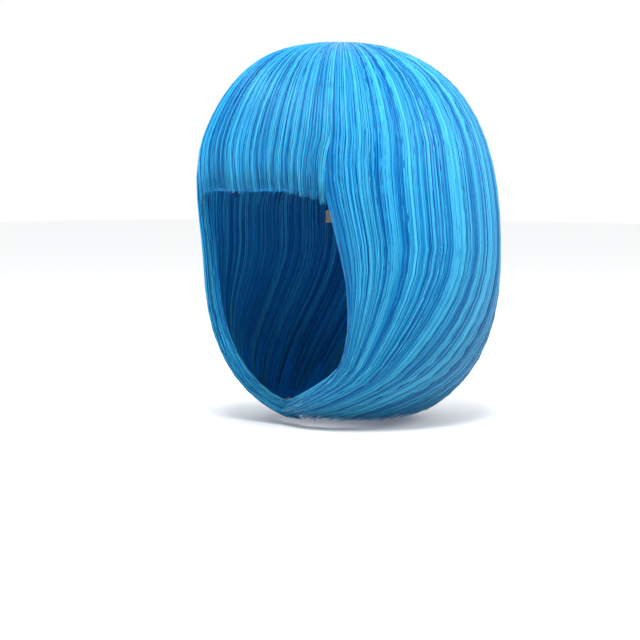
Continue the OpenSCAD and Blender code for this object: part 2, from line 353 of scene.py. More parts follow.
@dataclass(frozen=True)
class Fibre:
    """Straight modacrylic wig fibre: extruded, smooth and slightly see-through.

    Its long parallel filaments give a soft, streaked sheen that runs across the hair in a band, deep
    blue between the locks, and a lighter rim where light grazes the fibres.
    """

    name: str
    deep: str = "#0059A2"
    body: str = "#1292D0"
    light: str = "#4CC2EA"
    roughness: float = 0.32
    sheen: float = 0.08
    end_shade: float = 0.56

    def material(self) -> bpy.types.Material:
        """Builds the material; it reads the strand attributes that the groom stores.

        Returns:
            The material.
        """
        material, tree = fresh_material(self.name)
        strand, lock, along = (attribute_of(tree, name) for name in ("strand_tone", "lock_tone", "along"))
        mixed = add_node(tree, "ShaderNodeMix", {0: 0.38, 2: strand, 3: lock}).outputs[0]
        # Dye takes a little unevenly along a filament, over some 30 mm.
        seed = add_node(tree, "ShaderNodeMath", {0: strand, 1: 91.0}, operation="MULTIPLY").outputs[0]
        place = add_node(tree, "ShaderNodeCombineXYZ", {0: along, 1: seed}).outputs[0]
        uneven = add_node(tree, "ShaderNodeTexNoise", {"Vector": place, "Scale": 3.2, "Detail": 2.0})
        spread = ranged(tree, uneven.outputs["Fac"], (0.3, 0.7), (-0.12, 0.12))
        tone = add_node(tree, "ShaderNodeMath", {0: mixed, 1: spread}, operation="ADD").outputs[0]
        colour = ramped(tree, tone, ((0.24, self.deep), (0.48, self.body), (0.76, self.light)))
        # Painted light and shade: the colour is a little lighter near the roots and darker towards the tips,
        # where the lower hair falls in shade.
        ends = ranged(tree, along, (0.25, 0.95), (1.06, self.end_shade), "SMOOTHSTEP")
        end_shaded_colour = add_node(tree, "ShaderNodeVectorMath", {0: colour, "Scale": ends}, operation="SCALE")
        surfaced(tree, {
            "Base Color": end_shaded_colour.outputs[0],
            "Roughness": ranged(tree, strand, (0.0, 1.0), (self.roughness + 0.08, self.roughness - 0.06)),
            "IOR": 1.5,
            "Specular IOR Level": 0.42,
            "Specular Tint": linear("#8FD4F7"),
            "Sheen Weight": self.sheen,
            "Sheen Roughness": 0.35,
            "Sheen Tint": linear("#A6DCF8"),
        })
        return material


@dataclass(frozen=True)
class HairMass:
    """The fibre packed under the top locks, seen as fine streaks between them and on the inside; its blues
    are darker than the locks' as painted shade.
    """

    name: str
    dark: str = "#0456A2"
    pale: str = "#117FCA"
    streak_mm: float = 1.1

    def material(self) -> bpy.types.Material:
        """Builds the material; its streaks follow the sheet's stored run across and along the hair.

        Returns:
            The material.
        """
        material, tree = fresh_material(self.name)
        run = {0: attribute_of(tree, "across_mm"), 1: attribute_of(tree, "along")}
        place = add_node(tree, "ShaderNodeCombineXYZ", run).outputs[0]
        streak = add_node(
            tree, "ShaderNodeTexNoise",
            {"Vector": place, "Scale": 1 / self.streak_mm, "Detail": 3.0, "Roughness": 0.6},
        ).outputs["Fac"]
        relief = add_node(tree, "ShaderNodeBump", {"Strength": 0.6, "Distance": 0.4 * MM, "Height": streak})
        surfaced(tree, {
            "Base Color": ramped(tree, streak, ((0.36, self.dark), (0.66, self.pale))),
            "Roughness": 0.5,
            "IOR": 1.5,
            "Specular IOR Level": 0.3,
            "Specular Tint": linear("#8FD4F7"),
            "Normal": relief.outputs[0],
        })
        return material


class Weave(Enum):
    """How the yarns of a cloth show in its surface."""

    PLAIN = "plain"
    RIBBED = "ribbed"
    CORDED = "corded"
    PILE = "pile"
    SMOOTH = "smooth"


@dataclass(frozen=True)
class Cloth:
    """A woven or knitted narrow cloth; its yarns follow the piece's own "cloth" map, in metres."""

    name: str
    colour: str
    shade: str
    weave: Weave
    pitch: float = 0.7 * MM
    depth: float = 0.12 * MM
    roughness: float = 0.7
    sheen: float = 0.3

    def material(self) -> bpy.types.Material:
        """Builds the material.

        Returns:
            The material.
        """
        material, tree = fresh_material(self.name)
        place = add_node(tree, "ShaderNodeUVMap", uv_map="cloth").outputs[0]
        axes = add_node(tree, "ShaderNodeSeparateXYZ", {0: place}).outputs

        def ripple(axis: int, pitch: float) -> bpy.types.NodeSocket:
            """A yarn's rise and fall across one axis, from 0 to 1.

            Args:
                axis: 0 for across, 1 for along.
                pitch: distance from yarn to yarn, in metres.

            Returns:
                The rise.
            """
            phase = {0: axes[axis], 1: 2 * math.pi / pitch}
            turn = add_node(tree, "ShaderNodeMath", phase, operation="MULTIPLY")
            wave = add_node(tree, "ShaderNodeMath", {0: turn.outputs[0]}, operation="SINE")
            halved = {0: wave.outputs[0], 1: 0.5, 2: 0.5}
            return add_node(tree, "ShaderNodeMath", halved, operation="MULTIPLY_ADD").outputs[0]

        # The yarn's pitch across and along, as shares of the cloth's own pitch.
        pitches = {Weave.PLAIN: (1.0, 1.0), Weave.RIBBED: (0.45, 1.0), Weave.CORDED: (1.0, 0.4)}
        scale = 1 / PILE_TUFT if self.weave is Weave.PILE else GRAIN_SCALE
        grain = add_node(tree, "ShaderNodeTexNoise", {"Vector": place, "Scale": scale, "Detail": 3.0})
        height, low, high = grain.outputs[0], 0.35, 0.65
        if self.weave in pitches:
            wide, long = pitches[self.weave]
            yarns = {0: ripple(0, self.pitch * wide), 1: ripple(1, self.pitch * long)}
            rise = add_node(tree, "ShaderNodeMath", yarns, operation="MULTIPLY").outputs[0]
            height = add_node(tree, "ShaderNodeMix", {0: 0.18, 2: rise, 3: height}).outputs[0]
            low, high = 0.1, 0.7
        # Painted shade: the colour runs to the darker shade where the yarns dip; the grain noise adds a
        # random tone, and is all there is on smooth and pile cloth.
        yarn_shade_and_grain = ranged(tree, height, (low, high))
        colour = add_node(
            tree, "ShaderNodeMix", {0: yarn_shade_and_grain, 6: linear(self.shade), 7: linear(self.colour)}, data_type="RGBA"
        )
        strength = 0.25 if self.weave is Weave.SMOOTH else 0.8
        relief = add_node(
            tree, "ShaderNodeBump", {"Strength": strength, "Distance": self.depth, "Height": height}
        )
        surfaced(tree, {
            "Base Color": colour.outputs[2],
            "Roughness": self.roughness,
            "Sheen Weight": self.sheen,
            "Sheen Roughness": 0.4,
            "Sheen Tint": linear(self.colour),
            "Normal": relief.outputs[0],
        })
        return material


@dataclass(frozen=True)
class MouldedPlastic:
    """Injection-moulded nylon: slightly cloudy, satin from the mould, with a faint shrink texture."""

    name: str
    colour: str
    roughness: float = 0.34

    def material(self) -> bpy.types.Material:
        """Builds the material.

        Returns:
            The material.
        """
        material, tree = fresh_material(self.name)
        place = add_node(tree, "ShaderNodeTexCoord").outputs["Object"]
        noise = add_node(tree, "ShaderNodeTexNoise", {"Vector": place, "Scale": 400.0, "Detail": 2.0})
        shrink = noise.outputs[0]
        relief = add_node(tree, "ShaderNodeBump", {"Strength": 0.15, "Distance": 0.05 * MM, "Height": shrink})
        surfaced(tree, {
            "Base Color": linear(self.colour),
            "Roughness": ranged(tree, shrink, (0.3, 0.7), (self.roughness - 0.06, self.roughness + 0.08)),
            "IOR": 1.53,
            "Subsurface Weight": 0.15,
            "Subsurface Radius": (0.8 * MM, 0.8 * MM, 0.8 * MM),
            "Normal": relief.outputs[0],
        })
        return material


NET_YARN = Cloth("nylon_net_yarn", "#2D78C4", "#1A4E8E", Weave.SMOOTH, roughness=0.6)
CROWN_MESH = Cloth("fine_crown_mesh", "#3C8BD2", "#174A86", Weave.PLAIN, pitch=0.9 * MM, depth=0.25 * MM)
ELASTIC_BAND = Cloth("woven_elastic_band", "#2B79C8", "#1B559A", Weave.CORDED, pitch=1.0 * MM, depth=0.2 * MM)
LACE_RIBBON = Cloth("lace_ribbon", "#3E8FD6", "#1C569B", Weave.PLAIN, pitch=1.3 * MM, depth=0.3 * MM)
WEFT_HEAD = Cloth(
    "sewn_weft_head", "#2C8AD6", "#0C4C93", Weave.RIBBED, pitch=0.9 * MM, depth=0.3 * MM, roughness=0.5
)
VELVET = Cloth(
    "short_pile_velvet", "#255FA8", "#183F78", Weave.PILE, depth=0.1 * MM, roughness=0.9, sheen=0.9
)
WHITE_ELASTIC = Cloth(
    "knitted_white_elastic", "#E9EDEF", "#B7C0C6", Weave.CORDED, pitch=0.9 * MM, depth=0.2 * MM
)
COTTON_TAPE = Cloth("cotton_twill_tape", "#E6DFCC", "#B9AE93", Weave.PLAIN, pitch=0.7 * MM, depth=0.15 * MM)
SATIN = Cloth(
    "satin_label_ribbon", "#F3F4F2", "#DADCDA", Weave.RIBBED, pitch=0.35 * MM, depth=0.03 * MM, roughness=0.32
)
THREAD = Cloth("polyester_thread", "#8CC4EC", "#4F97CF", Weave.SMOOTH, roughness=0.5)
CLOTHS = (
    NET_YARN, CROWN_MESH, ELASTIC_BAND, LACE_RIBBON, WEFT_HEAD, VELVET, WHITE_ELASTIC, COTTON_TAPE, SATIN,
    THREAD,
)


# ---------------------------------------------------------------------------------------------
# The hair's form and the way it falls
# ---------------------------------------------------------------------------------------------


@dataclass
class HairForm:
    """Outer form of the dressed hair, and the lines that its locks follow.

    A place on it is an azimuth from the face, positive towards one side, and an angle down from the
    crown. Both halves are built on the +X side and mirrored.
    """

    half: float
    back: float
    top: float
    low: float
    part_z: float
    cut_z: float
    fringe_half: float
    front: float = 0.135
    face_inset: float = 0.027
    wide_z: float = -0.080
    centre_y: float = 0.017
    crown_shift: float = 0.006
    roundness: float = 2.4
    hem_share: float = 0.5335
    face_half: float = 0.074
    face_wide_z: float = -0.095
    sweep_from_z: float = -0.070
    sweep_power: float = 1.05

    @classmethod
    def from_frame(cls) -> HairForm:
        """Takes the form's extents from the CAD nodes.

        Returns:
            The form.
        """
        side_low, side_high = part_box("left_outer_hair")
        crown_low, crown_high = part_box("crown_hair")
        _, back_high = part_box("back_outer_hair")
        fringe_low, fringe_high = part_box("fringe_outer_hair")
        centre_y = cls.centre_y
        return cls(
            half=side_high.x, back=back_high.y - centre_y, top=crown_high.z, low=side_low.z,
            part_z=crown_low.z, cut_z=fringe_low.z, fringe_half=fringe_high.x,
        )

    @property
    def hem_angle(self) -> float:
        """Angle down from the crown at which the hem lies."""
        return math.pi - math.asin(self.hem_share ** (self.roundness / 2))

    @property
    def tuck(self) -> float:
        """How far down the form would close below its widest level."""
        return (self.wide_z - self.low) / (-math.cos(self.hem_angle)) ** (2 / self.roundness)

    def level(self, down: Array, inset: Array | float = 0.0) -> Array:
        """Height of the form at an angle down from the crown.

        Args:
            down: angle down from the crown, in radians.
            inset: depth under the outside, in metres.

        Returns:
            The height, in metres.
        """
        share = np.abs(np.cos(down)) ** (2 / self.roundness)
        upper = self.top - self.wide_z - inset
        return self.wide_z + np.where(down < math.pi / 2, upper * share, -(self.tuck - inset) * share)

    def angle(self, z: Array | float, inset: float = 0.0) -> Array:
        """Angle down from the crown at a height.

        Args:
            z: height, in metres.
            inset: depth under the outside, in metres.

        Returns:
            The angle, in radians.
        """
        z = np.asarray(z, float)
        upper = np.clip((z - self.wide_z) / (self.top - self.wide_z - inset), 0, 1)
        lower = np.clip((self.wide_z - z) / (self.tuck - inset), 0, 1)
        power = self.roundness / 2
        return np.where(z > self.wide_z, np.arccos(upper**power), math.pi - np.arccos(lower**power))

    def share(self, down: Array) -> Array:
        """Width of the form at an angle down from the crown, as a share of its widest."""
        return np.sin(np.clip(down, 0, math.pi)) ** (2 / self.roundness)

    def point(self, azimuth: Array, down: Array, inset: Array | float = 0.0) -> Array:
        """A point of the form.

        Args:
            azimuth: angle from the face, in radians.
            down: angle down from the crown, in radians.
            inset: depth under the outside, in metres.

        Returns:
            Positions, with the coordinates on the last axis.
        """
        z = self.level(down, inset)
        wide = self.share(down)
        centre = self.centre_y - self.crown_shift * (np.maximum(0, z) / self.top) ** 2
        # Below the temples the hair lies closer to the face; further round it hangs straight.
        near_face = smooth(0.12, 0.85, np.cos(azimuth))
        front = self.front - self.face_inset * (1 - smooth(-0.100, 0.012, z)) * near_face
        ahead = 0.5 + 0.5 * np.tanh(np.cos(azimuth) / 0.08)
        reach = self.back + (front - self.back) * ahead
        x = (self.half - inset) * wide * np.sin(azimuth)
        y = centre - (reach - inset) * wide * np.cos(azimuth)
        return np.stack(np.broadcast_arrays(x, y, z), axis=-1)

    def face_edge(self, z: Array) -> Array:
        """Half width of the face opening at a height.

        Args:
            z: height, in metres.

        Returns:
            Half the width, in metres.
        """
        upper = self.fringe_half + (self.face_half - self.fringe_half) * (1 - smooth(-0.105, 0.030, z))
        share = np.clip((self.face_wide_z - z) / (self.face_wide_z - self.low - 0.002), 0, 1)
        lower = self.face_half * (1 - share**2.2) ** (1 / 2.2)
        return np.where(z > self.face_wide_z, upper, lower)

    def azimuth_of(self, x: Array, down: Array) -> Array:
        """Azimuth in front of the face at which the form is x from the middle.

        Args:
            x: distance from the middle, in metres.
            down: angle down from the crown, in radians.

        Returns:
            The azimuth, in radians.
        """
        low = np.minimum(down, math.pi)
        top = self.angle(self.part_z)
        wide = np.where(down < top, self.share(top), self.share(low))
        return np.arcsin(np.clip(x / (self.half * wide), -1, 1))

    def side_azimuth(self, t: Array, down: Array, cross: float = 0.0) -> Array:
        """Azimuth of a side lock, which sweeps forward as it falls.

        Args:
            t: place round the side, from 0 at the face's edge to 1 at the middle of the back.
            down: angle down from the crown.
            cross: how far past the middle the front locks run at the hem, in metres.

        Returns:
            The azimuth.
        """
        z = self.level(down)
        ended = smooth(-0.158, self.low, z) ** 1.3
        edge = self.azimuth_of(self.face_edge(z) - cross * ended, down)
        fallen = np.clip((self.sweep_from_z - z) / (self.sweep_from_z - self.low), 0, 1)
        swept = np.sign(t) * np.abs(t) ** (1 + self.sweep_power * fallen**1.7)
        return edge + (math.pi - edge) * swept

    def fringe_azimuth(self, t: Array, down: Array) -> Array:
        """Azimuth of a fringe lock, from t = -1 to 1 across the forehead."""
        return self.azimuth_of(t * self.fringe_half, down)


@dataclass
class Lie:
    """How one layer of locks lies on the form.

    Attributes:
        places: each lock's place t across its region.
        roots: angle down from the crown at which each lock starts.
        tips: angle down from the crown at which each lock ends.
        inset: depth of the layer under the outside, in metres.
        root_inset: how much deeper the roots are hidden under the layers above.
        tip_inset: how much deeper the tips turn in.
        points: guide points along a lock.
    """

    places: Array
    roots: Array
    tips: Array
    inset: Array
    root_inset: Array | float = 0.0045
    tip_inset: float = 0.0
    points: int = 18


Path = Callable[[Array, Array], Array]


@dataclass
class Groom:
    """Turns a layer's guide lines into tapered strands with Geometry Nodes."""

    form: HairForm
    random: np.random.Generator
    tree: bpy.types.NodeTree = field(init=False)

    def __post_init__(self) -> None:
        """Builds the strand tree once."""
        self.tree = self.strand_tree()

    @staticmethod
    def strand_tree() -> bpy.types.NodeTree:
        """Tree that fills each guide line with strands: spread, crowned, wavering and tapered.

        Returns:
            The tree.
        """
        tree, given = opened_tree("strands", {
            "Strands": 10, "Radius": 0.3 * MM, "Crown": 1.2 * MM, "Jitter": 0.4 * MM, "Waver": 0.6 * MM,
            "Trim": 0.04, "Gather": 0.5, "Seed": 1,
        })
        sides = 3

        def named(name: str, kind: str = "FLOAT") -> bpy.types.NodeSocket:
            """A stored attribute as a field."""
            node = add_node(tree, "GeometryNodeInputNamedAttribute", {"Name": name}, data_type=kind)
            return node.outputs[0]

        def math_of(operation: str, first: object, second: object = 0.0) -> bpy.types.NodeSocket:
            """A scalar calculation."""
            return add_node(tree, "ShaderNodeMath", {0: first, 1: second}, operation=operation).outputs[0]

        def scaled(vector: object, by: object) -> bpy.types.NodeSocket:
            """A vector times a number."""
            node = add_node(tree, "ShaderNodeVectorMath", {0: vector, "Scale": by}, operation="SCALE")
            return node.outputs[0]

        def drawn(low: float, high: float, stream: int) -> bpy.types.NodeSocket:
            """A random number for each strand, from a stream of its own."""
            picks = {2: low, 3: high, 7: named("strand", "INT"), 8: math_of("ADD", given["Seed"], stream)}
            return add_node(tree, "FunctionNodeRandomValue", picks, data_type="FLOAT").outputs[1]

        def stored(
            geometry: bpy.types.NodeSocket, name: str, value: bpy.types.NodeSocket, kind: str, domain: str
        ) -> bpy.types.NodeSocket:
            """The geometry with a named attribute."""
            return add_node(
                tree, "GeometryNodeStoreNamedAttribute",
                {"Geometry": geometry, "Name": name, "Value": value}, data_type=kind, domain=domain,
            ).outputs[0]

        lines = add_node(tree, "GeometryNodeMeshToCurve", {0: given["Geometry"]})
        many = add_node(
            tree, "GeometryNodeDuplicateElements",
            {"Geometry": lines.outputs[0], "Amount": given["Strands"]}, domain="SPLINE",
        )
        index = add_node(tree, "GeometryNodeInputIndex").outputs[0]
        numbered = stored(many.outputs[0], "strand", index, "INT", "CURVE")
        place = drawn(-1.0, 1.0, 11)
        along = named("along")
        # Locks gather towards their tips.
        gather = ranged(tree, along, (0.72, 1.0), (0.0, given["Gather"]), "SMOOTHSTEP")
        spread = math_of("MULTIPLY", named("spread"), math_of("SUBTRACT", 1.0, gather))
        sideways = math_of("MULTIPLY", place, spread)
        # Across the lock the strands lie in a dome, some of them buried in it.
        square = math_of("SUBTRACT", 1.0, math_of("MULTIPLY", place, place))
        dome = math_of("SQRT", math_of("MAXIMUM", square, 0.0))
        buried = drawn(0.0, 1.0, 12)
        sunk = math_of("SUBTRACT", math_of("MULTIPLY", dome, buried), 1.0)
        height = math_of("MULTIPLY", given["Crown"], sunk)
        # Each strand wavers along a noise of its own, and a few loose ones waver more.
        stray = {0: math_of("MULTIPLY", along, 3.2), 1: math_of("MULTIPLY", drawn(0.0, 1.0, 13), 400.0)}
        stray_key = add_node(tree, "ShaderNodeCombineXYZ", stray).outputs[0]
        waver = add_node(tree, "ShaderNodeTexNoise", {"Vector": stray_key, "Scale": 1.0, "Detail": 1.0})
        loose = math_of("POWER", drawn(0.0, 1.0, 14), 5.0)
        amount = math_of("MULTIPLY", given["Waver"], math_of("ADD", 1.0, math_of("MULTIPLY", loose, 4.0)))
        swing = math_of("SUBTRACT", waver.outputs[0], 0.5)
        drift = math_of("MULTIPLY", swing, math_of("MULTIPLY", amount, 2.0))
        lift = math_of("MULTIPLY", drawn(-1.0, 1.0, 15), given["Jitter"])
        moves = {
            0: scaled(named("across", "FLOAT_VECTOR"), math_of("ADD", sideways, drift)),
            1: scaled(named("outward", "FLOAT_VECTOR"), math_of("ADD", height, lift)),
        }
        offset = add_node(tree, "ShaderNodeVectorMath", moves, operation="ADD").outputs[0]
        placed = add_node(tree, "GeometryNodeSetPosition", {"Geometry": numbered, "Offset": offset})
        kept = math_of("SUBTRACT", 1.0, math_of("MULTIPLY", drawn(0.0, 1.0, 16), given["Trim"]))
        cut = add_node(tree, "GeometryNodeTrimCurve", {0: placed.outputs[0], "End": kept}, mode="FACTOR")
        toned = stored(cut.outputs[0], "strand_tone", drawn(0.0, 1.0, 17), "FLOAT", "CURVE")
        factor = add_node(tree, "GeometryNodeSplineParameter").outputs["Factor"]
        taper = ranged(tree, factor, (0.86, 1.0), (1.0, 0.25), "SMOOTHSTEP")
        thick = math_of("MULTIPLY", math_of("MULTIPLY", given["Radius"], drawn(0.65, 1.35, 18)), taper)
        ring = add_node(tree, "GeometryNodeCurvePrimitiveCircle", {"Resolution": sides, "Radius": 1.0})
        corner = add_node(tree, "GeometryNodeInputIndex").outputs[0]
        around = stored(ring.outputs[0], "around", math_of("DIVIDE", corner, float(sides)), "FLOAT", "POINT")
        tubes = add_node(
            tree, "GeometryNodeCurveToMesh", {0: toned, 1: around, "Scale": thick, "Fill Caps": True}
        )
        closed_tree(tree, given, tubes.outputs[0])
        return tree

    def guides(self, name: str, lie: Lie, path: Path, side: float) -> bpy.types.Object:
        """Guide lines of a layer, as a mesh of loose edges with the groom's attributes.

        Args:
            name: the object's name.
            lie: how the layer lies.
            path: azimuth of a place t at an angle down from the crown.
            side: 1 for the wearer's left and the middle, -1 for the mirrored right.

        Returns:
            The guide object.
        """
        count, dense = len(lie.places), 240
        share = np.broadcast_to(np.linspace(0, 1, dense), (count, dense))
        z_root = self.form.level(lie.roots)[:, None]
        z_tip = self.form.level(lie.tips)[:, None]
        # Even steps in angle near the crown, and in height further down.
        down_even = lie.roots[:, None] + (lie.tips - lie.roots)[:, None] * share
        down_level = self.form.angle(z_root + (z_tip - z_root) * share)
        down = 0.5 * (down_even + down_level)
        rooted = np.broadcast_to(lie.root_inset, (count,))[:, None]
        inset = lie.inset[:, None] + rooted * (1 - smooth(0.0, 0.22, share))
        inset = inset + lie.tip_inset * smooth(0.74, 1.0, share)

        def line(shift: float) -> Array:
            """The layer's lines, moved a little across or in."""
            places = np.clip(lie.places[:, None] + shift, -1.05, 1.0)
            return self.form.point(path(places, down), down, inset)

        middle = line(0.0)
        beside = (line(0.004) - line(-0.004)) / 0.008
        deeper = self.form.point(path(lie.places[:, None] + 0 * down, down), down, inset + 0.001)
        steps = np.linalg.norm(np.diff(middle, axis=1), axis=2)
        length = np.concatenate([np.zeros((count, 1)), np.cumsum(steps, axis=1)], axis=1)
        samples = np.linspace(0, 1, lie.points)

        def resampled(values: Array) -> Array:
            """Values at even steps of length along each line.

            Args:
                values: one row of values for each line.

            Returns:
                The same values at the guide points.
            """
            out = np.empty((count, lie.points, values.shape[2]))
            for i in range(count):
                at = samples * length[i, -1]
                for axis in range(values.shape[2]):
                    out[i, :, axis] = np.interp(at, length[i], values[i, :, axis])
            return out

        points, across, inner = resampled(middle), resampled(beside), resampled(deeper)
        tangent = np.gradient(points, axis=1)
        tangent /= np.linalg.norm(tangent, axis=2, keepdims=True) + 1e-12
        outward = np.cross(across, tangent)
        facing = np.sign(np.sum(outward * (points - inner), axis=2, keepdims=True))
        outward *= facing / (np.linalg.norm(outward, axis=2, keepdims=True) + 1e-12)
        flat = np.cross(tangent, outward)
        pitch = np.abs(np.sum(across * flat, axis=2)) * self.spacing(lie.places)[:, None]
        if side < 0:
            for values in (points, outward, flat):
                values[..., 0] *= -1
        index = np.arange(count * lie.points).reshape(count, lie.points)
        edges = np.stack([index[:, :-1].ravel(), index[:, 1:].ravel()], axis=1).tolist()
        guide = new_mesh(f"{name}_guides", points.reshape(-1, 3), [], edges)
        store(guide, "across", "FLOAT_VECTOR", flat.reshape(-1, 3))
        store(guide, "outward", "FLOAT_VECTOR", outward.reshape(-1, 3))
        store(guide, "spread", "FLOAT", np.maximum(pitch, 0.25 * MM).ravel())
        store(guide, "along", "FLOAT", np.tile(samples, count))
        store(guide, "lock_tone", "FLOAT", np.repeat(self.random.random(count), lie.points))
        return guide

    @staticmethod
    def spacing(places: Array) -> Array:
        """Distance in t from each lock to its neighbours, a little widened so that locks overlap.

        Args:
            places: each lock's place t.

        Returns:
            One distance for each lock.
        """
        order = np.argsort(places)
        gaps = np.gradient(places[order])
        out = np.empty_like(gaps)
        out[order] = np.clip(gaps, np.median(gaps) * 0.6, np.median(gaps) * 1.6) * 0.72
        return out

    def layer(
        self, name: str, lie: Lie, path: Path, side: float, material: bpy.types.Material, **sizes: float
    ) -> bpy.types.Object:
        """One layer of locks as a finished mesh with its OFBake map.

        Args:
            name: the piece's name.
            lie: how the layer lies.
            path: azimuth of a place at an angle down.
            side: 1, or -1 for the mirrored right.
            material: the fibre's material.
            **sizes: the strand tree's inputs.

        Returns:
            The piece.
        """
        guide = self.guides(name, lie, path, side)
        seed = int(self.random.integers(1, 9999))
        piece = grown(guide, self.tree, {**sizes, "Material": material, "Seed": seed}, name)
        self.unwrap(piece)
        LOG.info("%s: %d locks, %d triangles", name, len(lie.places), triangles(piece))
        return piece

    @staticmethod
    def unwrap(piece: bpy.types.Object) -> None:
        """Gives each strand its own tile in the OFBake map, V running from root to tip.

        Args:
            piece: the strand mesh.
        """
        mesh = piece.data
        strand = corner_values(mesh, "strand")
        along = corner_values(mesh, "along")
        around = corner_values(mesh, "around")
        total = np.zeros(len(mesh.polygons), np.int32)
        mesh.polygons.foreach_get("loop_total", total)
        face = np.repeat(np.arange(len(total)), total)
        widest = np.zeros(len(total))
        np.maximum.at(widest, face, around)
        wraps = (widest[face] > 0.5) & (around < 0.1) & (total[face] == 4)
        around = np.where(wraps, 1.0, around)
        tiles = int(math.ceil(math.sqrt(strand.max() + 1)))
        margin = 0.12
        u = (strand % tiles + margin + around * (1 - 2 * margin)) / tiles
        v = (strand // tiles + margin + along * (1 - 2 * margin)) / tiles
        layer = mesh.uv_layers.new(name="OFBake")
        layer.data.foreach_set("uv", np.stack([u, v], axis=1).astype(np.float32).ravel())


def triangles(piece: bpy.types.Object) -> int:
    """Number of triangles in a piece's mesh."""
    return sum(len(p.vertices) - 2 for p in piece.data.polygons)


@dataclass
class Bob:
    """The dressed hair: fringe, two side curtains and the back, each with its own layers."""

    form: HairForm
    cap: CapForm
    seed: int = 20
    back_edge: float = 0.80
    shell_inset: float = 3.0 * MM
    shell_inner: float = 10.0 * MM
    blend_from_z: float = 0.034
    blend_to_z: float = -0.022
    root_hide: float = 2 * MM
    tip_turn: float = 1 * MM
    hem_rise: float = 3 * MM

    def build(self) -> None:
        """Builds every layer of hair."""
        self.groom = Groom(self.form, np.random.default_rng(self.seed))
        self.fibre = Fibre("modacrylic_fibre").material()
        # The fringe's copy of the fibre has less painted shade towards its tips.
        self.fringe_fibre = Fibre("modacrylic_fibre_fringe", end_shade=0.88).material()
        self.inside = Fibre(
            "modacrylic_fibre_inside", deep="#0663B0", body="#1286D0", light="#35AEE8", sheen=0.05
        ).material()
        self.mass = HairMass("packed_fibre").material()
        self.fringe()
        for side, word in ((1.0, "left"), (-1.0, "right")):
            self.curtain(side, word)
        self.back()

    def hang(self, piece: bpy.types.Object, body: str, *nodes: str) -> None:
        """Bakes a piece of hair's placement into its mesh and hides the CAD nodes that it stands for.

        Args:
            piece: the piece.
            body: the moving body; not used.
            *nodes: the CAD nodes that it stands for.
        """
        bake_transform(piece)
        if nodes:
            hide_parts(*nodes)

    def spaced(self, first: float, last: float, count: int) -> Array:
        """Places of a row of locks, slightly uneven."""
        step = (last - first) / count
        return first + step * (np.arange(count) + 0.5 + self.groom.random.uniform(-0.28, 0.28, count))

    def drawn(self, low: float, high: float, count: int) -> Array:
        """Random numbers from the hair's own stream."""
        return self.groom.random.uniform(low, high, count)

    def shell(
        self, name: str, path: Path, span: tuple[float, float], tip: Array, side: float, width: float
    ) -> bpy.types.Object:
        """The packed fibre under the locks, as a closed sheet that thins towards the tips.

        Args:
            name: the piece's name.
            path: azimuth of a place at an angle down.
            span: first and last place t.
            tip: angle down from the crown at the lower edge, one for each column.
            side: 1, or -1 for the mirrored right.
            width: breadth of the region at its widest, in metres.

        Returns:
            The piece.
        """
        cols, rows = len(tip), 52
        t = np.linspace(*span, cols)[None, :]
        v = np.linspace(0, 1, rows)[:, None]
        first = math.radians(0.2)
        down = first + (tip[None, :] - first) * v
        thin = smooth(0.80, 1.0, v) + 0 * t
        azimuth = path(t + 0 * down, down)
        outer = self.form.point(azimuth, down, self.shell_inset + 1.2 * MM * thin)
        inner = self.form.point(azimuth, down, self.shell_inner - (self.shell_inner - 5.4 * MM) * thin)
        outer, inner = sided(side, outer, inner)
        # Places run from the face to the back, so the sheet is turned to look outward.
        if self.looks_in(outer, inner):
            outer, inner = outer[:, ::-1], inner[:, ::-1]
        piece = slab(name, outer, inner)
        across = np.tile(np.broadcast_to(t, (rows, cols)).ravel() * width / MM, 2)
        store(piece, "across_mm", "FLOAT", across)
        store(piece, "along", "FLOAT", np.tile(np.broadcast_to(v, (rows, cols)).ravel(), 2))
        piece.data.materials.append(self.mass)
        return piece

    @staticmethod
    def looks_in(outer: Array, inner: Array) -> bool:
        """Whether the sheet's outer face is wound so that it looks inward.

        Args:
            outer: points of the outer face.
            inner: points of the inner face.

        Returns:
            True if the columns have to be turned.
        """
        j, i = outer.shape[0] // 2, outer.shape[1] // 2
        along = outer[j + 1, i] - outer[j, i]
        beside = outer[j, i + 1] - outer[j, i]
        return float(np.dot(np.cross(beside, along), outer[j, i] - inner[j, i])) < 0

    def fringe(self) -> None:
        """The fringe: locks from the crown to the brow, cut almost straight, longer at the temples."""
        form, path = self.form, self.form.fringe_azimuth
        tips = np.full(44, float(form.angle(form.cut_z + 1.5 * MM)))
        shell = self.shell("fringe_mass", path, (-0.998, 0.998), tips, 1.0, 0.13)
        self.hang(shell, "fringe", "fringe_under_hair", "crown_hair")
        for name, count, strands, inset, rise, roots_at, crown, finish in (
            ("fringe_top_locks", 46, 28, 0.3, 0.0, (0.3, 5), 0.9, self.fringe_fibre),
            ("fringe_lower_locks", 38, 24, 1.3, 0.001, (3, 24), 1.0, self.fringe_fibre),
            ("fringe_inner_locks", 28, 18, 9.6, 0.003, (56, 66), -1.4, self.inside),
        ):
            outside = crown > 0
            places = self.spaced(-1.04, 1.04, count)
            drop = 0.010 * np.abs(places) ** 5 if outside else 0.0
            tips = form.angle(form.cut_z + rise - drop + self.drawn(-0.0022, 0.0018, count))
            roots = np.radians(self.drawn(*roots_at, count))
            lie = Lie(
                places, roots, tips, np.full(count, inset * MM), self.root_hide,
                tip_inset=1.5 * MM if outside else -4 * MM, points=20 if outside else 14,
            )
            nodes = ["fringe_outer_hair"] if "top" in name else []
            self.locks(
                name, path, 1.0, "fringe", lie, strands, crown, finish, *nodes,
                Waver=0.45 * MM, Trim=0.022, Gather=0.45,
            )

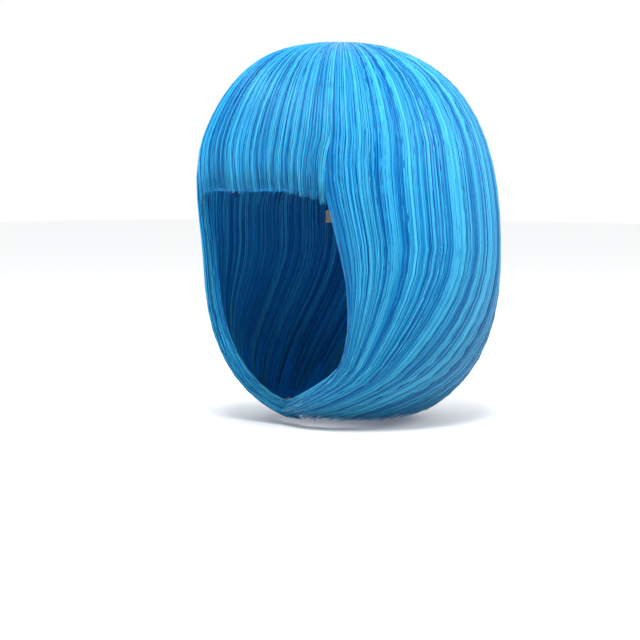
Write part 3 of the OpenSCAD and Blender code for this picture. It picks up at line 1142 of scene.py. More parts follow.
    def locks(
        self, name: str, path: Path, side: float, body: str, lie: Lie, strands: int, crown: float,
        finish: bpy.types.Material, *nodes: str, **changed: float,
    ) -> None:
        """One layer of locks.

        Args:
            name: the piece's name.
            path: azimuth of a place at an angle down.
            side: 1, or -1 for the mirrored right.
            body: the moving body.
            lie: how the layer lies.
            strands: strands in each lock.
            crown: how far the locks bulge, in millimetres; less than 0 turns them inward.
            finish: the fibre's material.
            *nodes: the CAD nodes that the layer stands for.
            **changed: the strand tree's inputs that differ from the usual ones.
        """
        usual = {"Radius": 0.24 * MM, "Jitter": 0.15 * MM, "Waver": 0.7 * MM, "Trim": 0.03, "Gather": 0.35}
        sizes = {**usual, "Strands": strands, "Crown": crown * MM, **changed}
        self.hang(self.groom.layer(name, lie, path, side, finish, **sizes), body, *nodes)

    def falling(
        self, span: tuple[float, float, int], inset: float, roots: tuple[float, float],
        tips: tuple[float, float], points: int,
    ) -> Lie:
        """Outer locks, which fall from near the crown to the hem.

        Args:
            span: first and last place t, and the number of locks.
            inset: depth of the layer, in millimetres.
            roots: range of the roots, in degrees down from the crown.
            tips: range of the tips above the hem, in metres.
            points: guide points along a lock.

        Returns:
            How they lie.
        """
        count = span[2]
        places = self.spaced(*span)
        ends = self.form.angle(self.form.low + self.drawn(*tips, count))
        starts = np.radians(self.drawn(*roots, count))
        return Lie(places, starts, ends, np.full(count, inset * MM), self.root_hide, self.tip_turn, points)

    def sewn_on(self, places: Array, path: Path) -> Lie:
        """Inner locks, which start on the lowest wefts above the cap's edge.

        Args:
            places: each lock's place t.
            path: azimuth of a place at an angle down.

        Returns:
            How they lie.
        """
        count = len(places)
        turn = np.abs(np.degrees(path(places, np.full(count, math.pi / 2))))
        roots = self.cap.edge(turn) + self.drawn(0.009, 0.022, count)
        tips = self.form.angle(self.form.low + self.drawn(0.004, 0.012, count))
        # The cap draws away from the hair's form towards the nape.
        hidden = (11 + 14 * smooth(95, 165, turn)) * MM
        return Lie(places, self.form.angle(roots), tips, np.full(count, 10.6 * MM), hidden, tip_inset=-4 * MM)

    def curtain(self, side: float, word: str) -> None:
        """One side of the hair, from the face's edge round to the back.

        Args:
            side: 1 for the wearer's left, -1 for the right.
            word: left or right.
        """
        form = self.form
        cross = 0.024 if side > 0 else -0.002

        def path(t: Array, down: Array) -> Array:
            """A side lock's azimuth."""
            return form.side_azimuth(np.clip(t, -0.012, 1), down, cross)

        body = f"{word}_curtain"
        tips = np.full(56, float(form.angle(form.low + self.hem_rise)))
        shell = self.shell(f"{word}_mass", path, (0.012, self.back_edge), tips, side, 0.24)
        self.hang(shell, body, f"{word}_under_hair")
        for name, count, strands, points, inset, roots_at, *nodes in (
            ("top_locks", 46, 30, 23, 0.2, (0.3, 5), f"{word}_outer_hair"),
            ("middle_locks", 42, 28, 20, 0.9, (2, 16)),
            ("lower_locks", 46, 18, 18, 1.7, (5, 30)),
        ):
            span = (-0.01, self.back_edge, count)
            lie = self.falling(span, inset, roots_at, (-0.0045, 0.0015), points)
            self.locks(f"{word}_{name}", path, side, body, lie, strands, 0.9, self.fibre, *nodes)
        # Locks that turn in round the front edge, through the whole thickness.
        count = 22
        lie = Lie(
            self.drawn(0.0, 0.014, count), np.radians(self.drawn(58, 66, count)),
            form.angle(form.low + self.drawn(-0.003, 0.002, count)), self.drawn(2.2, 9.6, count) * MM,
        )
        self.locks(f"{word}_edge_locks", path, side, body, lie, 26, 1.2, self.fibre)
        lie = self.sewn_on(self.spaced(0.0, self.back_edge, 48), path)
        self.locks(f"{word}_inner_locks", path, side, body, lie, 14, -1.6, self.inside, Radius=0.4 * MM)

    def back(self) -> None:
        """The back of the hair, between the two sides."""
        form = self.form

        def path(t: Array, down: Array) -> Array:
            """A back lock's azimuth: t runs from one side's edge to the other's."""
            near = 1 - (1 - self.back_edge) * np.abs(t)
            return math.pi + np.sign(t) * (form.side_azimuth(near, down) - math.pi)

        tips = np.full(40, float(form.angle(form.low + self.hem_rise)))
        shell = self.shell("back_mass", path, (-0.99, 0.99), tips, 1.0, 0.11)
        self.hang(shell, "back_fall", "back_under_hair")
        for name, count, inset, roots_at, *nodes in (
            ("back_top_locks", 36, 0.3, (0.3, 5), "back_outer_hair"),
            ("back_middle_locks", 32, 1.2, (3, 26)),
        ):
            lie = self.falling((-1.0, 1.0, count), inset, roots_at, (-0.002, 0.003), 20)
            self.locks(name, path, 1.0, "back_fall", lie, 38, 0.9, self.fibre, *nodes)
        lie = self.sewn_on(self.spaced(-1.0, 1.0, 36), path)
        self.locks("back_inner_locks", path, 1.0, "back_fall", lie, 18, -1.6, self.inside, Radius=0.36 * MM)


# ---------------------------------------------------------------------------------------------
# The cap
# ---------------------------------------------------------------------------------------------


@dataclass(frozen=True)
class CapForm:
    """Form of the stretch cap as worn, in metres, with azimuths in degrees from the face."""

    half: float = 0.078
    deep: float = 0.099
    rise: float = 0.062
    wide_z: float = -0.030
    tuck: float = 0.120
    centre_y: float = 0.007
    roundness: float = 2.2
    ear_drop: float = 0.012
    nape_drop: float = 0.070

    def at(self, azimuth: Array, down: Array, out: float) -> Array:
        """A point of the form.

        Args:
            azimuth: degrees from the face.
            down: degrees down from the crown.
            out: distance outside the net, in metres.

        Returns:
            Positions, with the coordinates on the last axis.
        """
        turn, fall = np.radians(azimuth), np.radians(down)
        wide = np.sin(fall) ** (2 / self.roundness)
        share = np.abs(np.cos(fall)) ** (2 / self.roundness)
        upper = self.rise - self.wide_z + out
        z = self.wide_z + np.where(fall < math.pi / 2, upper * share, -self.tuck * share)
        x = (self.half + out) * wide * np.sin(turn)
        y = self.centre_y - (self.deep + out) * wide * np.cos(turn)
        return np.stack(np.broadcast_arrays(x, y, z), axis=-1)

    def angle(self, z: Array, out: float) -> Array:
        """Degrees down from the crown at a height.

        Args:
            z: height, in metres.
            out: distance outside the net, in metres.

        Returns:
            The angle, in degrees.
        """
        upper = np.clip((z - self.wide_z) / (self.rise - self.wide_z + out), 0, 1)
        lower = np.clip((self.wide_z - z) / self.tuck, 0, 1)
        power = self.roundness / 2
        above, below = np.arccos(upper**power), math.pi - np.arccos(lower**power)
        return np.degrees(np.where(z > self.wide_z, above, below))

    def on(self, azimuth: Array, z: Array, out: float) -> Array:
        """A point of the form at a height."""
        azimuth, z = np.broadcast_arrays(np.asarray(azimuth, float), np.asarray(z, float))
        return self.at(azimuth, self.angle(z, out), out)

    def edge(self, azimuth: Array) -> Array:
        """Height of the cap's edge: level at the front, over the ears, then down to the nape.

        Args:
            azimuth: degrees from the face.

        Returns:
            The height, in metres.
        """
        turn = np.abs((np.asarray(azimuth, float) + 180) % 360 - 180)
        over_ear, to_nape = smooth(76, 92, turn), smooth(108, 150, turn)
        return -self.ear_drop * over_ear - (self.nape_drop - self.ear_drop) * to_nape


def mirrored(points: Array) -> Array:
    """Points mirrored to the other side, with their columns turned so that faces still look out.

    Args:
        points: a line or a grid of points.

    Returns:
        The mirrored points.
    """
    out = points.copy()
    out[..., 0] *= -1
    return out[:, ::-1] if points.ndim == 3 else out


def sided(side: float, *grids: Array) -> list[Array]:
    """Points as they are on side 1, or mirrored on side -1."""
    return [mirrored(grid) if side < 0 else grid for grid in grids]


def slab(name: str, outer: Array, inner: Array, ring: bool = False) -> bpy.types.Object:
    """A closed sheet between two grids, with its cloth map in metres and its OFBake map.

    Args:
        name: the piece's name.
        outer: points of the outer face, as rows by columns by 3.
        inner: points of the inner face.
        ring: whether the columns close on themselves.

    Returns:
        The piece.
    """
    rows, cols = outer.shape[:2]
    spans = cols if ring else cols - 1
    steps = np.linalg.norm(np.diff(outer, axis=0), axis=2)
    runs = np.linalg.norm(np.diff(np.concatenate([outer, outer[:, :1]], axis=1), axis=1), axis=2)
    down_run = np.concatenate([[0.0], np.cumsum(steps.mean(axis=1))])
    side_run = np.concatenate([[0.0], np.cumsum(runs.mean(axis=0))])
    wall = float(np.linalg.norm(outer - inner, axis=2).mean())
    faces: list[tuple[int, ...]] = []
    cloth: list[tuple[float, float]] = []
    bake: list[tuple[float, float]] = []

    def add(
        corners: Sequence[tuple[int, int, int]], places: Sequence[tuple[float, float]], block: tuple
    ) -> None:
        """Adds one face with its cloth map and its place in a block of the OFBake map.

        Args:
            corners: row, column and face (0 outer, 1 inner) of each corner.
            places: cloth map of each corner, in metres.
            block: left, right, bottom and top of the block, then its breadth and height in metres.
        """
        faces.append(tuple((s * rows + j) * cols + i % cols for j, i, s in corners))
        cloth.extend(places)
        u0, u1, v0, v1, width, height = block
        bake.extend((u0 + (u1 - u0) * u / width, v0 + (v1 - v0) * v / height) for u, v in places)

    width, height = side_run[spans], down_run[-1]
    for j in range(rows - 1):
        for i in range(spans):
            quad = [(j, i), (j, i + 1), (j + 1, i + 1), (j + 1, i)]
            places = [(side_run[b], down_run[a]) for a, b in quad]
            add([(a, b, 0) for a, b in quad], places, (0.01, 0.48, 0.02, 0.88, width, height))
            add([(a, b, 1) for a, b in quad[::-1]], places[::-1], (0.52, 0.99, 0.02, 0.88, width, height))
    for i in range(spans):
        for j, low in ((0, 0.90), (rows - 1, 0.925)):
            quad = [(j, i + 1, 0), (j, i, 0), (j, i, 1), (j, i + 1, 1)]
            a, b = side_run[i], side_run[i + 1]
            places = [(b, 0.0), (a, 0.0), (a, wall), (b, wall)]
            if j:
                quad, places = quad[::-1], places[::-1]
            add(quad, places, (0.01, 0.99, low, low + 0.015, width, wall))
    if not ring:
        for j in range(rows - 1):
            for i, low in ((0, 0.95), (cols - 1, 0.975)):
                quad = [(j, i, 0), (j + 1, i, 0), (j + 1, i, 1), (j, i, 1)]
                a, b = down_run[j], down_run[j + 1]
                places = [(a, 0.0), (b, 0.0), (b, wall), (a, wall)]
                if i:
                    quad, places = quad[::-1], places[::-1]
                add(quad, places, (0.01, 0.99, low, low + 0.015, height, wall))
    piece = new_mesh(name, np.concatenate([outer.reshape(-1, 3), inner.reshape(-1, 3)]), faces)
    for layer_name, values in (("OFBake", bake), ("cloth", cloth)):
        layer = piece.data.uv_layers.new(name=layer_name)
        layer.data.foreach_set("uv", np.array(values, np.float32).ravel())
    piece.data.shade_smooth()
    piece.data.set_sharp_from_angle(angle=math.radians(50))
    return piece


def softened(piece: bpy.types.Object, width: float) -> bpy.types.Object:
    """Rounds a piece's sharp edges for good.

    Args:
        piece: the piece.
        width: width of the rounding, in metres.

    Returns:
        The same piece, with its new mesh.
    """
    bevel = piece.modifiers.new("edges", "BEVEL")
    bevel.width = width
    bevel.segments = 2
    bevel.limit_method = "ANGLE"
    bevel.angle_limit = math.radians(40)
    bevel.use_clamp_overlap = True
    mesh = evaluated_mesh(piece)
    piece.modifiers.clear()
    piece.data = mesh
    mesh.name = piece.name
    return piece


@dataclass
class Seams:
    """Geometry Nodes trees for thread: a tube along a line, and a row of single stitches."""

    cord: bpy.types.NodeTree = field(init=False)
    row: bpy.types.NodeTree = field(init=False)
    net: bpy.types.NodeTree = field(init=False)

    def __post_init__(self) -> None:
        """Builds the trees once."""
        self.cord = self.tube_tree("thread_tube", dual=False)
        self.net = self.tube_tree("net_mesh", dual=True)
        self.row = self.stitch_tree()

    @staticmethod
    def opened(name: str) -> tuple[bpy.types.NodeTree, bpy.types.NodeOutputs]:
        """A tree with the inputs that both kinds of thread share."""
        return opened_tree(name, {"Radius": 0.2 * MM, "Length": 2.4 * MM})

    @classmethod
    def tube_tree(cls, name: str, dual: bool) -> bpy.types.NodeTree:
        """Tree that runs yarn along edges, or along the cells of the dual mesh for a net.

        Args:
            name: the tree's name.
            dual: whether the yarn follows the dual mesh.

        Returns:
            The tree.
        """
        tree, given = cls.opened(name)
        source = given["Geometry"]
        if dual:
            source = add_node(tree, "GeometryNodeDualMesh", {0: source}).outputs[0]
        lines = add_node(tree, "GeometryNodeMeshToCurve", {0: source})
        sides = 3 if dual else 5
        ring = add_node(tree, "GeometryNodeCurvePrimitiveCircle", {"Resolution": sides, "Radius": 1.0})
        tubes = add_node(
            tree, "GeometryNodeCurveToMesh",
            {0: lines.outputs[0], 1: ring.outputs[0], "Scale": given["Radius"], "Fill Caps": True},
        )
        closed_tree(tree, given, tubes.outputs[0])
        return tree

    @classmethod
    def stitch_tree(cls) -> bpy.types.NodeTree:
        """Tree that sets a short stitch at even steps along a line."""
        tree, given = cls.opened("stitch_row")
        lines = add_node(tree, "GeometryNodeMeshToCurve", {0: given["Geometry"]})
        spaced = add_node(
            tree, "GeometryNodeCurveToPoints",
            {"Curve": lines.outputs[0], "Length": given["Length"]}, mode="LENGTH",
        )
        bead = add_node(tree, "GeometryNodeMeshIcoSphere", {"Radius": 1.0, "Subdivisions": 1})
        reach = add_node(tree, "ShaderNodeMath", {0: given["Length"], 1: 0.38}, operation="MULTIPLY")
        size = add_node(
            tree, "ShaderNodeCombineXYZ", {0: given["Radius"], 1: given["Radius"], 2: reach.outputs[0]}
        )
        placed = add_node(
            tree, "GeometryNodeInstanceOnPoints",
            {
                "Points": spaced.outputs["Points"], "Instance": bead.outputs[0],
                "Rotation": spaced.outputs["Rotation"], "Scale": size.outputs[0],
            },
        )
        closed_tree(tree, given, placed.outputs[0])
        return tree

    def sew(
        self, name: str, lines: Sequence[Array], material: bpy.types.Material, radius: float = 0.2 * MM,
        length: float = 2.4 * MM, stitches: bool = False,
    ) -> bpy.types.Object:
        """Thread along a set of lines.

        Args:
            name: the piece's name.
            lines: polylines, each as points by 3.
            material: the thread's material.
            radius: the thread's radius.
            length: step between stitches.
            stitches: single stitches in place of a continuous thread.

        Returns:
            The piece.
        """
        edges, start = [], 0
        for line in lines:
            edges += [(start + i, start + i + 1) for i in range(len(line) - 1)]
            start += len(line)
        source = new_mesh(f"{name}_lines", np.concatenate(lines), [], edges)
        tree = self.row if stitches else self.cord
        return grown(source, tree, {"Radius": radius, "Length": length, "Material": material}, name)


@dataclass
class Cap:
    """The stretch cap: net, patch, ribs, bands, wefts, tabs, label and the strap fittings."""

    form: CapForm
    net_wall: float = 1.0 * MM
    gap: float = 0.4 * MM
    rib_wall: float = 0.8 * MM
    band_out: float = -1.6 * MM
    band_wall: float = 1.2 * MM
    band_height: float = 20 * MM
    weft_out: float = 1.6 * MM
    weft_wall: float = 1.6 * MM
    weft_height: float = 3 * MM
    weft_pitch: float = 11.5 * MM
    weft_from_top: float = 18 * MM
    weft_edge_gap: float = 1.5 * MM
    weft_front: int = 40
    back_wefts: int = 10
    patch_angle: float = 24.0
    patch_overlap: float = 3.0
    tab_middle: float = 63.0
    tab_reach: float = 13.0
    tab_top_z: float = -1.5 * MM
    tab_ends: float = 7 * MM
    tab_depth: float = 29 * MM
    label_wall: float = 0.6 * MM
    tape_wall: float = 0.8 * MM
    tape_half: float = 5 * MM
    strap_half: float = 4 * MM
    strap_wall: float = 0.9 * MM
    adjust_z: float = -0.053
    thread_proud: float = 0.05 * MM

    @property
    def inner_out(self) -> float:
        """Distance of the bands' inner face from the net's outside."""
        return self.band_out - self.band_wall

    def build(self) -> None:
        """Builds every part of the cap."""
        self.seams = Seams()
        self.made = {cloth.name: cloth.material() for cloth in CLOTHS}
        self.net()
        self.bands()
        self.ribs()
        self.wefts()
        self.label()
        for side, word in ((1.0, "left"), (-1.0, "right")):
            self.ear_tab(side, word)
            self.loop_tape(side, word)
            self.strap(side, word)

    def keep(self, piece: bpy.types.Object, finish: Cloth | None, body: str, slot: str, *nodes: str) -> None:
        """Dresses a piece, rides it on its body and lets it stand for its CAD nodes.

        Args:
            piece: the piece.
            finish: its cloth, or None where it already has its material.
            body: the body that it rides on.
            slot: its material slot in the part's record; not used.
            *nodes: the CAD nodes that it stands for.
        """
        if finish is not None:
            piece.data.materials.clear()
            piece.data.materials.append(self.made[finish.name])
        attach(piece, body)
        if nodes:
            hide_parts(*nodes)

    def strip(
        self, name: str, azimuths: Array, top: Array, bottom: Array, out: float, wall: float, rows: int,
        side: float = 1.0,
    ) -> bpy.types.Object:
        """A sheet that lies along the cap between two heights.

        Args:
            name: the piece's name.
            azimuths: degrees from the face, one for each column.
            top: height of the top edge at each column.
            bottom: height of the bottom edge at each column.
            out: distance of the inner face from the net's outside.
            wall: thickness.
            rows: steps from top to bottom.
            side: -1 for the mirrored right.

        Returns:
            The piece.
        """
        share = np.linspace(0, 1, rows + 1)[:, None]
        z = top[None, :] * (1 - share) + bottom[None, :] * share
        outer = self.form.on(azimuths[None, :], z, out + wall)
        inner = self.form.on(azimuths[None, :], z, out)
        return slab(name, *sided(side, outer, inner))

    def net(self) -> None:
        """The knitted net: yarn round open six-sided cells, and the finer patch at the crown."""
        cols, rows = 122, 31
        share = np.linspace(0, 1, rows + 1)[:, None]
        shift = (np.arange(rows + 1) % 2)[:, None] * 0.5
        azimuth = (np.arange(cols)[None, :] + shift) * 360 / cols
        low = self.form.angle(self.form.edge(azimuth) + 0.0012, -0.0005)
        points = self.form.at(azimuth, self.patch_angle * (1 - share) + low * share, -0.5 * self.net_wall)
        faces = []
        for j in range(rows):
            for i in range(cols):
                a, b = j * cols + i, j * cols + (i + 1) % cols
                c, d = a + cols, (j + 1) * cols + (i + 1) % cols
                faces += [(a, b, c), (b, d, c)] if j % 2 == 0 else [(a, d, c), (a, b, d)]
        sheet = new_mesh("net_cells", points.reshape(-1, 3), faces)
        yarn = {"Radius": 0.24 * MM, "Material": self.made[NET_YARN.name]}
        net = grown(sheet, self.seams.net, yarn, "stretch_net_mesh")
        self.keep(net, None, "cap", "stretch_net", "cap_net")
        turn = np.arange(120)[None, :] * 3.0
        fall = np.linspace(0.8, self.patch_angle + self.patch_overlap, 14)[:, None]
        outer = self.form.at(turn, fall, self.gap + self.rib_wall)
        inner = self.form.at(turn, fall, self.gap)
        patch = slab("crown_mesh_patch", outer, inner, ring=True)
        self.keep(patch, CROWN_MESH, "cap", "crown_mesh", "crown_patch")

    def bands(self) -> None:
        """The bands inside the cap's edge, each with two rows of stitches."""
        out, stitch_inset = self.inner_out, 1.8 * MM
        rows: list[Array] = []
        for name, first, last, side in (
            ("front_band", -54, 54, 1.0), ("left_side_band", 56, 122, 1.0),
            ("right_side_band", 56, 122, -1.0), ("nape_band", 124, 236, 1.0),
        ):
            # A column every 1.6 degrees or so.
            azimuths = np.linspace(first, last, int((last - first) / 1.6))
            edge = self.form.edge(azimuths)
            top = edge + self.band_height
            piece = self.strip(f"{name}_cloth", azimuths, top, edge, out, self.band_wall, 8, side)
            self.keep(softened(piece, 0.3 * MM), ELASTIC_BAND, "cap", "cap_band", name)
            inside = azimuths[1:-1]
            for height in (stitch_inset, self.band_height - stitch_inset):
                line = self.form.on(inside, self.form.edge(inside) + height, out - self.thread_proud)
                rows += sided(side, line)
        thread = self.made[THREAD.name]
        sewn = self.seams.sew("band_stitches", rows, thread, 0.22 * MM, 2.6 * MM, stitches=True)
        self.keep(sewn, None, "cap", "cap_band")

    def ribs(self) -> None:
        """Lace ribbons from the crown to the edge, which the wefts are sewn to."""
        for name, azimuth, side in (
            ("back_centre_rib", 180, 1.0), ("left_back_rib", 146, 1.0), ("right_back_rib", 146, -1.0),
            ("left_side_rib", 112, 1.0), ("right_side_rib", 112, -1.0), ("left_temple_rib", 74, 1.0),
            ("right_temple_rib", 74, -1.0),
        ):
            turn = np.linspace(azimuth - 3, azimuth + 3, 9)[None, :]
            share = np.linspace(0, 1, 46)[:, None]
            low = self.form.angle(self.form.edge(turn), self.gap)
            fall = (self.patch_angle + 4) * (1 - share) + low * share
            # A scalloped edge, one scallop every 4 mm or so.
            scallop = 1 - 0.14 * np.abs(np.sin(share * 28 * math.pi)) * (np.abs(turn - azimuth) > 2.9)
            turn = azimuth + (turn - azimuth) * scallop
            outer = self.form.at(turn, fall, self.gap + self.rib_wall)
            inner = self.form.at(turn, fall, self.gap)
            ribbon = slab(f"{name}_ribbon", *sided(side, outer, inner))
            self.keep(ribbon, LACE_RIBBON, "cap", "lace_rib", name)

    def wefts(self) -> None:
        """The weft heads, each oversewn with a zigzag of thread."""
        pitch, top = self.weft_pitch, self.form.rise - self.weft_from_top
        spans = []
        for k in range(self.back_wefts):
            z = top - pitch * k
            # A weft starts where the cap's edge is clear below it.
            clear = z - self.weft_height - self.weft_edge_gap
            first = next(a for a in range(self.weft_front, 177) if self.form.edge(a) <= clear)
            spans.append((f"weft_{k + 1}", z, first, 360 - first))
        spans += [(f"fringe_weft_{k}", top - 3 * MM - pitch * k, -36, 36) for k in (1, 2, 3)]
        zigzags: list[Array] = []
        for name, z, first, last in spans:
            azimuths = np.linspace(first, last, max(12, int((last - first) / 2)))
            level = np.full(len(azimuths), z)
            piece = self.strip(
                f"{name}_head", azimuths, level, level - self.weft_height, self.weft_out, self.weft_wall, 4
            )
            self.keep(softened(piece, 0.4 * MM), WEFT_HEAD, "cap", "weft_track", name)
            count = int((last - first) * 1.1)
            turns = np.linspace(first + 0.5, last - 0.5, count)
            heights = z - self.weft_height * (0.5 + 0.28 * np.where(np.arange(count) % 2, 1, -1))
            inner = self.weft_out - self.thread_proud
            outer = self.weft_out + self.weft_wall + self.thread_proud
            zigzags += [self.form.on(turns, heights, out) for out in (inner, outer)]
        thread = self.seams.sew("weft_zigzag_thread", zigzags, self.made[THREAD.name], 0.2 * MM)
        self.keep(thread, None, "cap", "weft_track")

    def label(self) -> None:
        """The blank care label on the nape band."""
        azimuths = np.linspace(172, 188, 13)
        edge = self.form.edge(azimuths)
        out = self.inner_out - self.gap - self.label_wall
        top, bottom = edge + self.band_height - 2 * MM, edge + 4 * MM
        piece = self.strip("care_label_ribbon", azimuths, top, bottom, out, self.label_wall, 5)
        self.keep(softened(piece, 0.2 * MM), SATIN, "cap", "satin_label", "care_label")
        inside = azimuths[1:-1]
        low, high = -self.form.nape_drop + 5 * MM, -self.form.nape_drop + self.band_height - 3 * MM
        rows = [self.form.on(inside, z, out - self.thread_proud) for z in (low, high)]
        thread = self.made[THREAD.name]
        sewn = self.seams.sew("label_stitches", rows, thread, 0.16 * MM, 1.9 * MM, stitches=True)
        self.keep(sewn, None, "cap", "satin_label")

    def tab_edge(self, azimuth: Array) -> Array:
        """Height of an ear tab's rounded edge.

        Args:
            azimuth: degrees from the face.

        Returns:
            The height, in metres.
        """
        first = self.tab_middle - self.tab_reach
        share = np.maximum(0, np.sin(np.pi * (azimuth - first) / (2 * self.tab_reach)))
        return self.tab_top_z - self.tab_ends - self.tab_depth * share**0.7

    def ear_tab(self, side: float, word: str) -> None:
        """An ear tab with the stitches along its edge, and its stay.

        Args:
            side: 1 for the wearer's left, -1 for the right.
            word: left or right.
        """
        out = self.inner_out
        # Columns crowd towards the ends, where the edge turns up.
        turn = self.tab_middle - self.tab_reach * np.cos(np.linspace(0, math.pi, 41))
        top, bottom = np.full(len(turn), self.tab_top_z), self.tab_edge(turn)
        piece = self.strip(f"{word}_tab_velvet", turn, top, bottom, out, self.band_wall, 14, side)
        body = f"{word}_tab"
        self.keep(softened(piece, 0.35 * MM), VELVET, body, "tab_velvet", f"{word}_ear_tab")
        inset = self.tab_middle + (turn - self.tab_middle) * 0.88
        low = self.tab_edge(turn) + 1.8 * MM
        rim = sided(side, self.form.on(inset, low, out - self.thread_proud))
        thread = self.made[THREAD.name]
        sewn = self.seams.sew(f"{word}_tab_stitches", rim, thread, 0.2 * MM, 2.2 * MM, stitches=True)
        self.keep(sewn, None, body, "tab_velvet")
        plastic = self.plastic("bendable_stay_plastic", "#F0F2F2")
        self.keep_cad(f"{word}_ear_stay", plastic, body, "stay_plastic", 0.3 * MM)

    def plastic(self, name: str, colour: str) -> bpy.types.Material:
        """A moulded plastic's material, made once."""
        if name not in self.made:
            self.made[name] = MouldedPlastic(name, colour).material()
        return self.made[name]

    def keep_cad(
        self, node: str, material: bpy.types.Material, body: str, slot: str, width: float
    ) -> None:
        """A merged copy of a CAD node with rounded edges, standing for the node.

        Args:
            node: the CAD node.
            material: the material of the copy.
            body: the body that it rides on.
            slot: its material slot in the part's record.
            width: width of the rounding, in metres.
        """
        piece = bpy.data.objects.new(f"{node}_moulded", bpy.data.objects[node].data.copy())
        bpy.context.scene.collection.objects.link(piece)
        weld = piece.modifiers.new("weld", "WELD")
        weld.merge_threshold = 1e-5
        flat = piece.modifiers.new("flat", "DECIMATE")
        flat.decimate_type = "DISSOLVE"
        flat.angle_limit = math.radians(1)
        softened(piece, width)
        piece.data.shade_smooth()
        piece.data.set_sharp_from_angle(angle=math.radians(35))
        piece.data.materials.clear()
        piece.data.materials.append(material)
        self.keep(piece, None, body, slot, node)

    def loop_tape(self, side: float, word: str) -> None:
        """The tape on the nape band with its thread loops, which the hook catches, and the strap's anchor.

        Args:
            side: 1 for the wearer's left, -1 for the right.
            word: left or right.
        """
        out = self.inner_out - self.gap - self.tape_wall

        def tape(name: str, node: str, azimuths: Array) -> None:
            """One piece of tape at the straps' height.

            Args:
                name: the end of the piece's name.
                node: the end of the CAD node's name.
                azimuths: degrees from the face, one for each column.
            """
            level = np.full(len(azimuths), self.adjust_z)
            top, bottom = level + self.tape_half, level - self.tape_half
            piece = self.strip(f"{word}_{name}", azimuths, top, bottom, out, self.tape_wall, 6, side)
            self.keep(softened(piece, 0.25 * MM), COTTON_TAPE, "cap", "loop_tape", f"{word}_{node}")

        tape("tape_cloth", "loop_tape", np.linspace(149, 165.2, 15))
        bow = np.linspace(0, math.pi, 15)
        z = self.adjust_z + 3.6 * MM * np.cos(bow)
        rise = 1.65 * np.sin(bow) ** 0.6
        loops: list[Array] = []
        for k in range(4):
            for shift in (-0.28, 0.0, 0.28):
                turn = np.full(len(bow), 152 + 3.4 * k + shift)
                foot, near = self.form.on(turn, z, out), self.form.on(turn, z, out - 1 * MM)
                loops.append(foot + (near - foot) * rise[:, None])
        cotton = self.made[COTTON_TAPE.name]
        threads = self.seams.sew(f"{word}_loop_threads", sided(side, *loops), cotton, 0.3 * MM)
        self.keep(threads, None, "cap", "loop_tape")
        tape("anchor_patch", "strap_anchor", np.linspace(123, 130, 8))

    def strap(self, side: float, word: str) -> None:
        """The two halves of an elastic strap and the moulded hook on its end.

        Args:
            side: 1 for the wearer's left, -1 for the right.
            word: left or right.
        """
        out = self.inner_out - 2 * self.gap - self.tape_wall
        low = self.form.on(128.0, self.adjust_z - self.strap_half, out)
        start = np.array([low[0], low[1], self.adjust_z])
        aim = self.form.on(168.0, self.adjust_z, -14 * MM)
        ahead = np.array([aim[0] - start[0], aim[1] - start[1], 0.0])
        ahead /= np.linalg.norm(ahead)
        beside = np.array([-ahead[1], ahead[0], 0.0])

        def ribbon(first: float, last: float, depth: float, proud: float) -> tuple[Array, Array]:
            """Both faces of a length of elastic with raised cords, a little proud of its core.

            Args:
                first: start of the length, in metres from the stitching.
                last: end of the length.
                depth: depth of the inner face from the start.
                proud: how far it stands off the core.

            Returns:
                Points of the outer and the inner face.
            """
            x = np.linspace(first, last, 20)[:, None]
            across = np.linspace(-self.strap_half - proud, self.strap_half + proud, 25)[None, :]
            # Five cords lie side by side across the elastic.
            groove = 0.09 * MM * (1 - np.abs(np.sin(across / (2 * self.strap_half) * 5 * math.pi)))
            faces = []
            for y in (depth + self.strap_wall + proud - groove, depth - proud + groove):
                at = start + x[..., None] * ahead + y[..., None] * beside
                faces.append(at + across[..., None] * np.array([0, 0, 1.0]))
            return faces[0], faces[1]

        for node, first, last, depth, proud, body in (
            (f"{word}_strap", 1.0, 26.4, 0.0, 0.0, f"{word}_elastic"),
            (f"{word}_strap_end", 13.2, 39.4, 1.3, 0.12, f"{word}_elastic_end"),
        ):
            outer, inner = ribbon(first * MM, last * MM, depth * MM, proud * MM)
            if side > 0:
                outer, inner = outer[:, ::-1], inner[:, ::-1]
            piece = slab(f"{node}_elastic", *sided(side, outer, inner))
            parts = [node] if node.endswith("strap") else []
            self.keep(piece, WHITE_ELASTIC, body, "elastic", *parts)
        # The turned end that runs round the hook's bar is the CAD node's own.
        elastic = self.made[WHITE_ELASTIC.name]
        self.keep_cad(f"{word}_strap_end", elastic, f"{word}_elastic_end", "elastic", 0.12 * MM)
        nylon = self.plastic("clear_grey_nylon", "#C9D0D4")
        self.keep_cad(f"{word}_hook", nylon, f"{word}_adjuster", "hook_plastic", 0.25 * MM)


# ---------------------------------------------------------------------------------------------
# Studio
# ---------------------------------------------------------------------------------------------


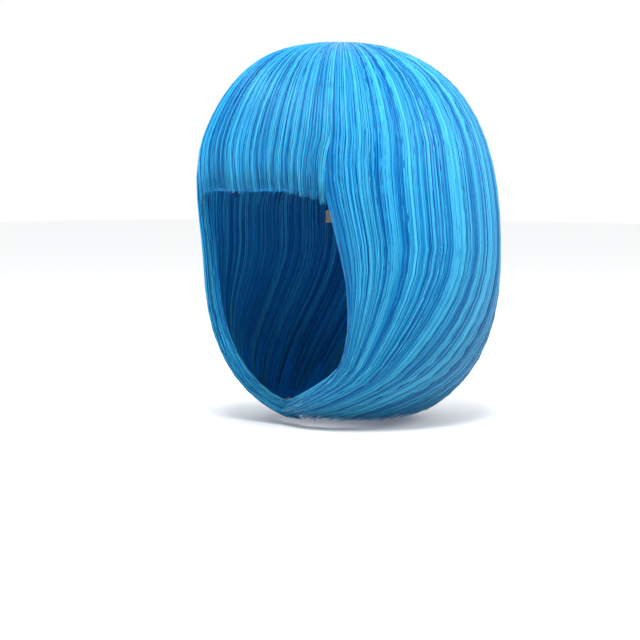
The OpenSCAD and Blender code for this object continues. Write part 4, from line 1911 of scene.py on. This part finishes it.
@dataclass
class Studio:
    """Camera, floor and soft light."""

    azimuth: float = 43.0
    elevation: float = 4.0
    distance: float = 1.5
    lens: float = 112.0
    aim_side: float = -0.0098
    aim_z: float = -0.1295
    floor_z: float = -0.2068
    floor_half: float = 6.0
    light_aim: tuple[float, float, float] = (0.0, 0.0, -0.06)

    def build(self) -> None:
        """Builds the studio."""
        self.camera()
        self.floor()
        self.lights()

    def camera(self) -> None:
        """Places the camera at the front left, a little above the hair's middle."""
        turn, rise = math.radians(self.azimuth), math.radians(self.elevation)
        back = Vector((math.sin(turn) * math.cos(rise), -math.cos(turn) * math.cos(rise), math.sin(rise)))
        right = Vector((math.cos(turn), math.sin(turn), 0))
        aim = right * self.aim_side + Vector((0, 0, self.aim_z))
        camera = bpy.data.objects.new("camera", bpy.data.cameras.new("camera"))
        camera.data.lens = self.lens
        camera.data.sensor_width = 36.0
        camera.location = aim + back * self.distance
        camera.rotation_mode = "QUATERNION"
        camera.rotation_quaternion = (-back).to_track_quat("-Z", "Y")
        bpy.context.scene.collection.objects.link(camera)
        bpy.context.scene.camera = camera

    def floor(self) -> None:
        """A pale floor under the hem."""
        half, z = self.floor_half, self.floor_z
        corners = [(-half, -half, z), (half, -half, z), (half, half, z), (-half, half, z)]
        floor = new_mesh("floor", np.array(corners), [(0, 1, 2, 3)])
        material = bpy.data.materials.new("pale_floor")
        material.use_nodes = True
        tree = material.node_tree
        surface = tree.nodes["Principled BSDF"]
        surface.inputs["Base Color"].default_value = linear("#F6F7F8")
        surface.inputs["Roughness"].default_value = 0.7
        # Clear from below, so that the inside of the cap can be looked at.
        under = add_node(tree, "ShaderNodeNewGeometry").outputs["Backfacing"]
        clear = add_node(tree, "ShaderNodeBsdfTransparent")
        seen = add_node(tree, "ShaderNodeMixShader", {0: under, 1: surface.outputs[0], 2: clear.outputs[0]})
        tree.links.new(seen.outputs[0], tree.nodes["Material Output"].inputs[0])
        floor.data.materials.append(material)

    def lights(self) -> None:
        """Large soft lights: key above and in front, fill from the side, rim from behind, pale world."""
        world = bpy.data.worlds.new("studio")
        bpy.context.scene.world = world
        world.use_nodes = True
        world.node_tree.nodes["Background"].inputs[0].default_value = linear("#FFFFFF")
        world.node_tree.nodes["Background"].inputs[1].default_value = 1.0
        for name, place, size, power in (
            ("key", (0.45, -0.55, 1.25), 0.6, 20.0),
            ("fill", (-0.55, -1.1, -0.05), 0.8, 6.0),
            ("rim", (0.9, 0.9, 0.6), 0.7, 7.0),
        ):
            light = bpy.data.objects.new(name, bpy.data.lights.new(name, "AREA"))
            light.data.size = size
            light.data.energy = power
            light.location = place
            light.rotation_mode = "QUATERNION"
            light.rotation_quaternion = (Vector(self.light_aim) - Vector(place)).to_track_quat("-Z", "Y")
            bpy.context.scene.collection.objects.link(light)
        bpy.context.scene.view_settings.view_transform = "Standard"


def main() -> None:
    """Builds the wig on its frame."""
    logging.basicConfig(level=logging.INFO, format="%(message)s")
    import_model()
    Studio().build()
    cap_form = CapForm()
    Bob(HairForm.from_frame(), cap_form).build()
    Cap(cap_form).build()


if __name__ == "__main__":
    main()
